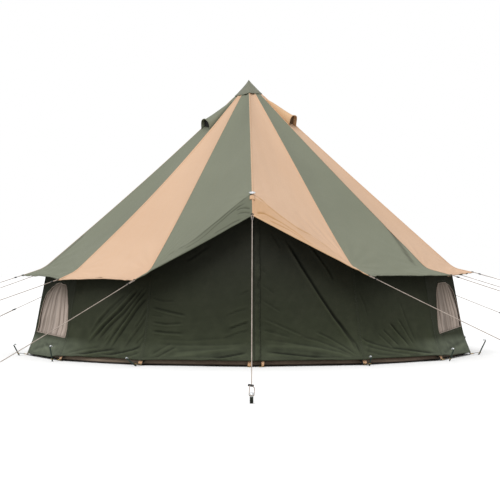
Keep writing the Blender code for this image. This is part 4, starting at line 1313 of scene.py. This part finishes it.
olive_canvas = wall_canvas()
side_upper = np.linspace(0, 1, 44, endpoint=False)
side_lower = np.linspace(0, 1, 14)
# Each piece with the seam counts at its two ends: -5 to -4 is the panel that the source numbers 5 on the left.
wall_pieces = [("wall_left_back", -7, -5), ("wall_left_5", -5, -4), ("wall_left_4", -4, -3), ("wall_left_3", -3, -2),
               ("wall_left_2", -2, -1), ("wall_right_2", 1, 2), ("wall_right_3", 2, 3), ("wall_right_4", 3, 4),
               ("wall_right_5", 4, 5), ("wall_right_back", 5, 7), ("door_left", -1, DOOR_SPLIT),
               ("door_right", DOOR_SPLIT, 1)]

# Each window: heights above the bend, and how far its two edges lie from the panel's middle there. The
# front two were drawn out of shape by the guys beside them, and the rear two are the plain arch.
WINDOW_HEIGHTS = (0.035, 0.10, 0.18, 0.26, 0.33, 0.38, 0.42, 0.45, 0.475, 0.490)
PLAIN_ARCH = (0.380, 0.380, 0.375, 0.352, 0.320, 0.285, 0.240, 0.190, 0.125, 0.050)
WINDOW_EDGES = {
    -3: ((-0.385, -0.385, -0.382, -0.368, -0.345, -0.312, -0.250, -0.165, -0.060, 0.000),
         (0.425, 0.418, 0.400, 0.356, 0.310, 0.275, 0.245, 0.208, 0.150, 0.070)),
    2: ((-0.310, -0.295, -0.270, -0.245, -0.215, -0.190, -0.165, -0.140, -0.085, -0.010),
        (0.410, 0.415, 0.415, 0.405, 0.388, 0.368, 0.340, 0.300, 0.220, 0.110)),
    4: (tuple(-edge for edge in PLAIN_ARCH), PLAIN_ARCH),
    -5: (tuple(-edge for edge in PLAIN_ARCH), PLAIN_ARCH),
}
# How the sill of a front window was drawn up or down: at the middle, and per metre.
WINDOW_TILT = {-3: (-0.0115, -0.029), 2: (0.024, 0.055)}


def window_drawn(left, across, height):
    """How far a window's edge was drawn up: its sill tilts, and its crown is gathered unevenly."""
    middle, slope = WINDOW_TILT.get(left, (0.0, 0.0))
    gathered = 0.009 * ripples(across, across * 0, 900 + left, 0.12) * np.clip((height - 0.30) / 0.12, 0, 1)
    return (middle + slope * across) * np.clip(1 - (height - 0.035) / 0.42, 0, 1) + gathered


def panel_axes(left):
    """Foot of the flat of a wall panel, and its directions along, up and out."""
    a, b = around(left * STEP, *WALL_BEND), around((left + 1) * STEP, *WALL_BEND)
    c, d = around(left * STEP, WALL_TOP_R, KNEE[1]), around((left + 1) * STEP, WALL_TOP_R, KNEE[1])
    foot = (a + b) / 2
    along, up = unit(b - a), unit((c + d) / 2 - foot)
    return foot, along, up, np.cross(along, up)


def window_edges(left, heights, wider=0.0):
    """The two edges of a window at heights above the bend, this much outside its line."""
    low, high = WINDOW_EDGES[left]
    levels = np.array(WINDOW_HEIGHTS)
    levels = np.where(levels < 0.2, levels - wider, levels + wider)
    return np.interp(heights, levels, low) - wider, np.interp(heights, levels, high) + wider


def window_outline(left, wider=0.0, steps=34):
    """Points round a window's edge."""
    half = steps // 2
    heights = np.concatenate([np.linspace(0.035 - wider, 0.40, half), np.linspace(0.41, 0.490 + wider, half)])
    low, high = window_edges(left, heights, wider)
    return np.concatenate([np.stack([high, heights + window_drawn(left, high, heights)], 1),
                           np.stack([low, heights + window_drawn(left, low, heights)], 1)[::-1]])


def window_cutter(left):
    """A block in the shape of a window, through the wall."""
    foot, along, up, out = panel_axes(left)
    outline = window_outline(left)
    rings = [foot + along * outline[:, :1] + up * outline[:, 1:] + out * depth for depth in (-0.06, 0.06)]
    count = len(outline)
    faces = [tuple(range(count))[::-1], tuple(range(count, 2 * count))]
    faces += [(i, (i + 1) % count, count + (i + 1) % count, count + i) for i in range(count)]
    mesh = bpy.data.meshes.new("window_cutter")
    mesh.from_pydata(np.concatenate(rings).tolist(), [], faces)
    cutter = bpy.data.objects.new("window_cutter", mesh)
    scene.collection.objects.link(cutter)
    return cutter


# Columns to a panel, rows above the bend and rows below it, where they are closer than on the other walls.
WALL_GRIDS = {"door_left": (120, 105, 18), "door_right": (120, 105, 18), "wall_left_2": (110, 78, 18),
              "wall_right_2": (110, 78, 18)}
for name, low, high in wall_pieces:
    columns, flat_rows, skirt_rows = WALL_GRIDS.get(name, (44, 44, 14))
    counts = np.linspace(low, high, max(int(round((high - low) * columns)), 6) + 1)
    points, run = wall(counts, np.linspace(0, 1, flat_rows, endpoint=False), np.linspace(0, 1, skirt_rows))
    uv = np.stack([np.broadcast_to(counts[None] * PANEL_WIDTH, run.shape), run], -1)
    # The crease mark carries the painted shade of the furrows and the painted highlight of their lips.
    creased = wall_pressed(counts, points[..., 2]) / 0.011 + wall_crumple(counts, points[..., 2]) / 0.007
    made = piece(name + "_cloth", points, grid_faces(*run.shape), olive_canvas, uv,
                 marks={"wear_and_crease_shading": np.clip(creased, -1.4, 1)})
    has_window = low in WINDOW_EDGES and high == low + 1
    cloth(made, WALL_THICK, [name], window_cutter(low) if has_window else None)


# ---- Wall seams, door flap and wall ties --------------------------------------------------------
# Each corner of the wall is a felled seam, and so is the skirt's edge. A storm flap of the wall's
# canvas, sewn along its left edge, covers the zip between the two door leaves.

WALL_SEAM_WIDTH = 0.017
FLAP_EDGES = (0.005, 0.066)  # shares of the panel right of the middle
FLAP_THICK = 0.0015

wall_thread = thread_of("thread_wall", (0.020, 0.024, 0.015, 1), (0.050, 0.055, 0.038, 1))
corner_strips, corner_lines = [], []
corner_upper = np.linspace(0.02, 1, 56, endpoint=False)
for seam in GORES:
    if seam == 0:
        continue
    half = WALL_SEAM_WIDTH / 2 / PANEL_WIDTH
    counts = seam + half * np.array([-1, -0.5, 0, 0.5, 1]) + (half if seam == -SIDES // 2 else 0)
    grid, _ = wall_rest(counts, corner_upper, side_lower)
    grid = grid + outward(grid) * wall_folds(counts, grid)[..., None]
    corner_strips.append(strip_on(grid, 0.0020, 0.0012))
    normal = outward(grid)
    for column, other in ((0, 1), (4, 3)):
        corner_lines.append(grid[:, column] * 0.5 + grid[:, other] * 0.5 + normal[:, column] * 0.0022)
joined("wall_corner_seams", corner_strips, olive_canvas)
sewn("wall_corner_stitches", corner_lines, wall_thread, pitch=0.014, length=0.009)

skirt_strips, skirt_lines = [], []
for name, low, high in wall_pieces:
    points, run = wall(np.linspace(low, high, max(int(round((high - low) * 50)), 6) + 1), side_upper, side_lower)
    inwards = unit(points[-4] - points[-1])
    band = np.stack([points[-1] + inwards * reach for reach in (0.022, 0.014, 0.007, -0.0015)])
    skirt_strips.append(strip_on(band, 0.0020, 0.0030))
    skirt_lines.append(band[0] * 0.8 + band[1] * 0.2 + outward(band)[0] * 0.0022)
joined("wall_skirt_hem", skirt_strips, olive_canvas)
sewn("wall_skirt_stitches", skirt_lines, wall_thread, pitch=0.014, length=0.009)

flap_upper = np.linspace(0.015, 1, 130, endpoint=False)
across = np.linspace(0, 1, 13)
flap_counts = np.linspace(*FLAP_EDGES, 13)
flap, flap_run = wall(flap_counts, flap_upper, side_lower)
puckers = ripples(across[None] * 0.020 + flap_run * 0, flap_run, 601, 0.095)
lift = 0.0040 + 0.0050 * np.sin(math.pi * across[None]) + 0.0042 * puckers * (0.3 + 0.7 * across[None]) \
    + 0.0022 * ripples(across[None] * 0.06 + flap_run * 0, flap_run, 602, 0.045)
flap = flap + outward(flap) * np.maximum(lift, 0.0025)[..., None]
flap_uv = np.stack([np.broadcast_to(across[None] * 0.054, flap_run.shape), flap_run], -1)
# Painted light and shade on the puckers: the flap is painted lighter, and darker in the hollows of its puckers.
flap_shading = np.clip(0.25 + 0.9 * puckers * (0.2 + 0.8 * across[None]), -1, 1)
storm_flap = piece("door_storm_flap", flap, grid_faces(*flap_run.shape), olive_canvas, flap_uv,
                   marks={"wear_and_crease_shading": flap_shading})
cloth(storm_flap, FLAP_THICK, ())
normal = outward(flap)
flap_hems = []
for first, last in ((0, 2), (10, 12)):
    strip = np.stack([flap[:, first], (flap[:, first] + flap[:, last]) / 2, flap[:, last]], 1)
    flap_hems.append(strip_on(strip, 0.0016, 0.0004))
# Painted shade along both hems of the flap, as where its free edge casts a shadow.
joined("door_flap_hems", flap_hems, olive_canvas, marks={"wear_and_crease_shading": -0.50})
sewn("door_flap_stitches", [flap[:, 2] + normal[:, 2] * 0.002, flap[:, 10] + normal[:, 10] * 0.002],
     wall_thread, pitch=0.012, length=0.0075)

# Coil zip under the flap: two rows of teeth on a black tape.
zip_count = DOOR_SPLIT + np.array([-0.016, -0.008, 0.0, 0.008, 0.016])
zip_grid, _ = wall(zip_count, flap_upper, side_lower)
zip_black = woven_tape("zip_tape_black", (0.006, 0.006, 0.006, 1), (0.022, 0.022, 0.020, 1), 0.0016)
joined("door_zip_tape", [strip_on(zip_grid, 0.0012, 0.0016)], zip_black)
zip_normal = outward(zip_grid)
teeth_colour = metal("zip_teeth_black", (0.010, 0.010, 0.010, 1), 0.30, (0.030, 0.030, 0.030, 1), 0.0, 300.0)
sewn("door_zip_teeth", [zip_grid[:, 2] + zip_normal[:, 2] * 0.0026], teeth_colour, pitch=0.0042,
     length=0.0026, thickness=0.0055)

# Two tan pegging tabs at the foot of the door, either side of the zip, and a wire hook.
tie_tabs, tie_wires = [], []
for where, width in ((-0.031, 0.026), (0.074, 0.022)):
    top = np.array([where, -2.012, 0.056])
    tie_tabs.append(ribbon(curved([top, top + [0.002, -0.030, -0.008], top + [0.001, -0.046, -0.030],
                                   top + [-0.003, -0.052, -0.052]]), RIGHT, width, 0.003))
    ring_line = loop_at(top + [-0.003, -0.056, -0.050], 0.012, RIGHT, np.array([0, -0.9, 0.25]), 16)
    tie_wires.append(tube(ring_line, 0.0022, 6, closed=True))
hook = curved([[0.058, -2.045, 0.030], [0.064, -2.080, 0.022], [0.058, -2.110, 0.010], [0.048, -2.122, 0.006],
               [0.040, -2.112, 0.010]], 6)
tie_wires.append(tube(hook, 0.0021, 6))
joined("door_tabs", tie_tabs, tan_webbing)
joined("door_tab_wires", tie_wires, brass)

# ---- Windows ------------------------------------------------------------------------------------
# Arched windows of fine beige insect mesh, sewn in with a pale binding. The mesh was cut a little
# wide, so it hangs in soft pleats that gather towards the crown.

def mesh_cloth():
    """Beige insect mesh: a fine square net, painted darker in the folds of its pleats and lighter on their
    ridges as painted shade and light, with the dark room showing through in the folds; painted shade darkens it
    towards the crown.
    """
    made, tree, shader = shader_of("window_net_beige", 0.85, sheen=0.05, shine=0.2)
    cut = coordinates(tree, "UV")
    solid = coordinates(tree, "Object")
    threads = weave(tree, cut, 240.0, 2.0, 0.5, 6, 0.4)
    streak = banded(tree, noise(tree, cut, 26.0, 3.0, 0.55, (1.6, 0.08, 1)), 0.36, 0.66)
    # Painted shade and light: dark in the folds, light on the raised pleats, and darker towards the crown under the
    # eaves.
    raised = marked(tree, "pleat")
    pleat = calc(tree, "ADD", streak, raised)
    height = along_axis(tree, solid, "Z")
    colour = mixed(tree, banded(tree, pleat, 0.15, 1.35), (0.215, 0.168, 0.140, 1), (0.56, 0.46, 0.40, 1))
    colour = mixed(tree, banded(tree, height, 0.42, 0.68, 0.0, 0.55), colour, (0.125, 0.098, 0.078, 1))
    colour = mixed(tree, banded(tree, threads, 0.7, 1.25, 0.0, 0.35), colour, (0.10, 0.085, 0.07, 1))
    tree.links.new(colour, shader.inputs["Base Color"])
    bump(tree, shader, threads, 0.0008, 0.6)
    return made


window_net = mesh_cloth()
binding_beige = woven_tape("binding_beige", (0.30, 0.235, 0.19, 1), (0.46, 0.37, 0.31, 1), 0.0022)


def on_wall(left, spot):
    """Points on the wall's finished face for (across, above the bend) spots on its flat panel."""
    foot, along, up, out = panel_axes(left)
    flat = foot + along * spot[..., :1] + up * spot[..., 1:2]
    count = left + 0.5 + spot[..., 0] / (2 * math.sin(STEP / 2) * (WALL_BEND[0] - 0.12 * spot[..., 1] / 0.63))
    grid_counts = np.linspace(left + 0.02, left + 0.98, 61)
    surface, _ = wall(grid_counts, side_upper, side_lower)
    result = flat.copy()
    done = result.reshape(-1, 3)
    for i, (point, where) in enumerate(zip(flat.reshape(-1, 3), count.reshape(-1))):
        spot_at = np.clip((where - grid_counts[0]) / (grid_counts[1] - grid_counts[0]), 0, 59.999)
        column, part = int(spot_at), spot_at - int(spot_at)
        line = surface[:, column] * (1 - part) + surface[:, column + 1] * part
        row = np.interp(-point[2], -line[:, 2], np.arange(len(line)))
        low = min(int(row), len(line) - 2)
        real = line[low] * (1 - (row - low)) + line[low + 1] * (row - low)
        done[i] = point + out * float((real - point) @ out)
    return result, out


WINDOW_NET_THICK = 0.0009
NET_FOOT, NET_CROWN = 0.025, 0.500  # heights above the wall's bend
net_rows = np.linspace(NET_CROWN - 0.0005, NET_FOOT, 44)
shares = np.linspace(-1, 1, 85)
for left, word in ((2, "right_front"), (4, "right_rear"), (-3, "left_front"), (-5, "left_rear")):
    low_edge, high_edge = window_edges(left, net_rows, 0.010)
    spots = np.stack([low_edge[:, None] + (high_edge - low_edge)[:, None] * (shares[None] + 1) / 2,
                      np.broadcast_to(net_rows[:, None], (len(net_rows), len(shares)))], -1)
    level = (spots[..., 1] - NET_FOOT) / (NET_CROWN - NET_FOOT)
    spots[..., 1] += window_drawn(left, spots[..., 0], spots[..., 1])
    surface, out = on_wall(left, spots)
    flip = 1 if left < 0 else -1
    fan = shares[None] * flip - 0.22 * level
    fold = 0.5 + 0.5 * np.sin(fan * 20.0 + 1.3 * np.sin(fan * 5.0 + left))
    fold = fold ** 1.3 * (0.35 + 0.65 * np.clip(0.65 + 0.6 * np.sin(fan * 3.1 + left * 2), 0, 1))
    pinned = np.clip((1 - np.abs(shares[None])) / 0.10, 0, 1) * np.clip(level / 0.06, 0.45, 1) \
        * np.clip((1 - level) / 0.06, 0, 1)
    net_points = surface + out * (-0.0110 + 0.0150 * fold * pinned + 0.003 * pinned
                                  * ripples(spots[..., 0], spots[..., 1], 700 + left, 0.3))[..., None]
    net_uv = np.stack([np.broadcast_to(fan * 0.40, level.shape), spots[..., 1]], -1)
    made = piece(f"window_{word}_net", net_points, grid_faces(*net_points.shape[:2]), window_net, net_uv,
                 marks={"pleat": fold * pinned})
    cloth(made, WINDOW_NET_THICK, [f"window_mesh_{word}"])
    rim, out = on_wall(left, window_outline(left, -0.002, 60))
    joined(f"window_{word}_binding", [tube(rim + out * 0.0008, 0.0036, 6, closed=True)], binding_beige)
    wider, _ = on_wall(left, window_outline(left, 0.014, 60))
    ring_line = np.concatenate([wider, wider[:1]]) + out * 0.0012
    sewn(f"window_{word}_stitches", [ring_line], wall_thread, pitch=0.012, length=0.0075)

# ---- Guys and their pegs ------------------------------------------------------------------------
# Braided cotton rope from a grommet at every corner of the hem. A runner closes the loop at the
# grommet; near the ground the rope doubles back through a slider and round the head of its peg.

# Radius of each seam's peg.
GUY_REACH = {0: 5.02, 1: 4.75, 2: 4.55, 3: 4.60, 4: 4.60, 5: 4.60, 6: 4.50, 7: 4.60,
             -1: 4.30, -2: 4.25, -3: 4.25, -4: 4.20, -5: 4.15, -6: 4.50}
FRONT_PEG_TURN = math.radians(-0.82)
PEG_TOP = 0.065
PEG_LEAN = 0.45
ROPE_ON_PEG = 0.048
ROPE_R = 0.0030
ROPE_HANG = 0.004
RUNNER_AT = {-1: 0.095, 0: 0.095, 1: 0.095}  # how far from the grommet; on the other guys 0.05
SLIDER_BACK = {0: 0.125, 1: 0.25}  # how far before the peg the slider sits; on the other guys 0.95


def braided(name, dark, pale):
    """Braided rope: crossing strands wound round it, a little grey where handled."""
    made, tree, shader = shader_of(name, 0.85, sheen=0.08, shine=0.2)
    cut = coordinates(tree, "UV")
    one = add(tree, "ShaderNodeTexWave", {"Vector": cut, "Scale": 45.0, "Distortion": 0.6},
              bands_direction="DIAGONAL").outputs["Fac"]
    turned = add(tree, "ShaderNodeMapping", {"Vector": cut, "Scale": (1, -1, 1)}).outputs[0]
    two = add(tree, "ShaderNodeTexWave", {"Vector": turned, "Scale": 45.0, "Distortion": 0.6},
              bands_direction="DIAGONAL").outputs["Fac"]
    strands = calc(tree, "MAXIMUM", one, two)
    grime = banded(tree, noise(tree, cut, 9.0, 4.0, 0.6), 0.35, 0.7)
    share = calc(tree, "MULTIPLY", strands, grime)
    tree.links.new(mixed(tree, share, dark, pale), shader.inputs["Base Color"])
    bump(tree, shader, strands, 0.0012, 0.7)
    return made


rope_cotton = braided("rope_braid", (0.34, 0.275, 0.235, 1), (0.60, 0.52, 0.46, 1))
black_plastic = metal("fitting_black_plastic", (0.012, 0.012, 0.011, 1), 0.45, (0.028, 0.026, 0.024, 1), 0.0, 160.0)
dark_green_steel = metal("guy_peg_green_black", (0.014, 0.018, 0.012, 1), 0.40, (0.035, 0.040, 0.028, 1), 0.25)


def block(centre, along, aside, size, corner=0.22):
    """A rounded bar: size along, aside and through it."""
    along = unit(along)
    aside = unit(aside - along * aside.dot(along))
    through = np.cross(along, aside)
    sides = 20
    turn = circle(sides)
    wide, deep = (np.sign(wave) * np.abs(wave) ** corner for wave in (np.cos(turn), np.sin(turn)))
    rings, uvs = [], []
    for place, narrow in ((-0.5, 0.72), (-0.47, 0.9), (-0.40, 1.0), (0.40, 1.0), (0.47, 0.9), (0.5, 0.72)):
        rings.append(centre + along * (size[0] * place) + aside * (wide * size[1] / 2 * narrow)[:, None]
                     + through * (deep * size[2] / 2 * narrow)[:, None])
        uvs.append(np.stack([turn * 0.01, np.full(sides, place * size[0])], -1))
    faces = [(i * sides + j, i * sides + (j + 1) % sides, (i + 1) * sides + (j + 1) % sides, (i + 1) * sides + j)
             for i in range(len(rings) - 1) for j in range(sides)]
    return np.concatenate(rings), faces + end_faces(len(rings), sides), np.concatenate(uvs)


grommets, runners, guy_heads, guy_shafts = [], [], [], []
for seam in SEAMS:
    peg_turn = seam * STEP if seam else FRONT_PEG_TURN
    out, aside = directions(seam * STEP)
    own = seam if seam < SIDES // 2 else -SIDES // 2
    tip = around(turn_of(own), *seam_foot(own)[1])
    reach = GUY_REACH[seam]
    head = around(peg_turn, reach, ROPE_ON_PEG)
    line = head - tip
    length = np.linalg.norm(line)
    along = line / length
    over = np.cross(aside, along)
    over = over if over[2] > 0 else -over
    start = tip - along * 0.012 - UP * 0.002
    at_runner = tip + along * RUNNER_AT.get(seam, 0.050)
    at_slider = head - along * SLIDER_BACK.get(abs(seam), 0.95)
    strands = []
    for side in (-1, 1):
        apart = aside * side
        strands.append(tube(curved([start + apart * 0.004 + over * 0.003, tip + along * 0.012 + apart * 0.0075,
                                    (tip + at_runner) / 2 + apart * 0.0065, at_runner + apart * 0.0042,
                                    at_runner + along * 0.018 + apart * 0.0030], 6), ROPE_R * 0.92, 8))
    share = np.linspace(0, 1, 26)[:, None]
    main = at_runner + (at_slider - at_runner) * share
    main[:, 2] -= (ROPE_HANG * 4 * share * (1 - share))[:, 0]
    strands.append(tube(main, ROPE_R, 9))
    spread = 0.0135 if seam == 0 else 0.0125
    if seam == 0:
        left_leg = curved([at_slider - along * 0.004 - aside * 0.0085, at_slider + along * 0.03 - aside * 0.0115,
                           head - along * 0.03 - aside * spread, head + out * 0.002 - aside * spread,
                           head + out * 0.014 - aside * 0.006], 6)
        right_leg = curved([at_slider - along * 0.01, at_slider + along * 0.022 + aside * 0.0125,
                            at_slider + along * 0.045 + aside * 0.0165, head - along * 0.03 + aside * 0.015,
                            head + out * 0.002 + aside * spread, head + out * 0.014 + aside * 0.006,
                            head + out * 0.014 - aside * 0.006], 6)
    else:
        left_leg = curved([at_slider - aside * 0.006, at_slider + along * 0.10 - aside * 0.009,
                           head - along * 0.06 - aside * spread, head - aside * spread,
                           head + out * 0.014 - aside * 0.006], 8)
        right_leg = curved([at_slider + aside * 0.006, at_slider + along * 0.10 + aside * 0.009,
                            head - along * 0.06 + aside * spread, head + aside * spread,
                            head + out * 0.014 + aside * 0.006, head + out * 0.014 - aside * 0.006], 8)
    strands += [tube(left_leg, ROPE_R * 0.9, 8), tube(right_leg, ROPE_R * 0.9, 8)]
    word = {0: "front", SIDES // 2: "back"}.get(seam, f"{'right' if seam > 0 else 'left'}_{abs(seam)}")
    joined(f"guy_{word}_rope", strands, rope_cotton, [f"guy_line_{word}"])
    runners.append(block(at_runner + along * 0.004, along, aside, (0.022, 0.020, 0.011)))
    runners.append(block(at_slider - aside * 0.004, along * 0.35 + aside, over, (0.034, 0.012, 0.013), 0.6)
                   if seam == 0 else block(at_slider, along, aside, (0.046, 0.024, 0.010)))
    foot = around(peg_turn, reach - ROPE_ON_PEG * PEG_LEAN, 0.0)
    axis = UP + around(peg_turn, 1.0, 0.0) * PEG_LEAN
    guy_shafts.append(tube([foot + axis * rise for rise in (0.0, 0.012, 0.034, 0.042)],
                           [0.0100, 0.0108, 0.0108, 0.0095], 14))
    guy_heads.append(tube([foot + axis * rise for rise in (0.040, 0.0445, 0.050, 0.056, 0.060, PEG_TOP - 0.001)],
                          [0.0080, 0.0135, 0.0145, 0.0140, 0.0105, 0.004], 18))
    (fold_r, fold_z), (tip_r, tip_z) = seam_foot(own)
    fall = unit(np.array([out[0], out[1], (tip_z - fold_z) / (tip_r - fold_r)]))
    for lift in (0.0012, -0.0030):
        eye = tip - fall * 0.012 + np.cross(aside, fall) * lift
        grommets.append(tube(loop_at(eye, 0.0085, fall, aside, 18), 0.0026, 7, closed=True))
grommet_black = metal("grommet_black", (0.030, 0.030, 0.028, 1), 0.42, (0.070, 0.070, 0.065, 1), 0.5)
joined("guy_grommets", grommets, grommet_black)
joined("guy_runners", runners, black_plastic)
joined("guy_peg_heads", guy_heads, zinc)
joined("guy_peg_shafts", guy_shafts, dark_green_steel)

# The peak over the door has a zinc button, and a tan patch on the hem below it, which takes the painted shade of the
# turned-under hem.
peak_fold, peak_tip = around(turn_of(0), *seam_foot(0)[0]), around(turn_of(0), *seam_foot(0)[1])
roof_fall = unit(peak_fold - seam_line(0, 1.5))
roof_face = np.cross(roof_fall, RIGHT)
roof_face = roof_face if roof_face[2] > 0 else -roof_face
button_at = peak_fold + RIGHT * 0.003 - roof_fall * 0.010
button_rings = ((0.003, 0.020), (0.006, 0.0265), (0.0095, 0.0265), (0.0120, 0.022), (0.0128, 0.0135),
                (0.0105, 0.0105))  # height above the roof, and radius
button_points = np.array([loop_at(button_at + roof_face * lift, width, RIGHT, 0.62 * roof_fall, 28)
                          for lift, width in button_rings])
button_faces = grid_faces(len(button_rings), 28, closed=True)
button_faces += [face[::-1] for face in end_faces(len(button_rings), 28)]
settle(piece("peak_button", button_points, button_faces, zinc, button_points[..., :2] * 2))
hem_fall = unit(peak_tip - peak_fold)
patch = np.array([[peak_fold + hem_fall * down + np.array([across, 0.0, -0.010 * abs(across) / 0.02])
                   for across in np.linspace(-0.016, 0.020, 7)] for down in np.linspace(0.016, 0.062, 6)])
joined("peak_patch", [strip_on(patch, 0.0065, 0.004)], tan_canvas, marks={"turned_under": 0.8})
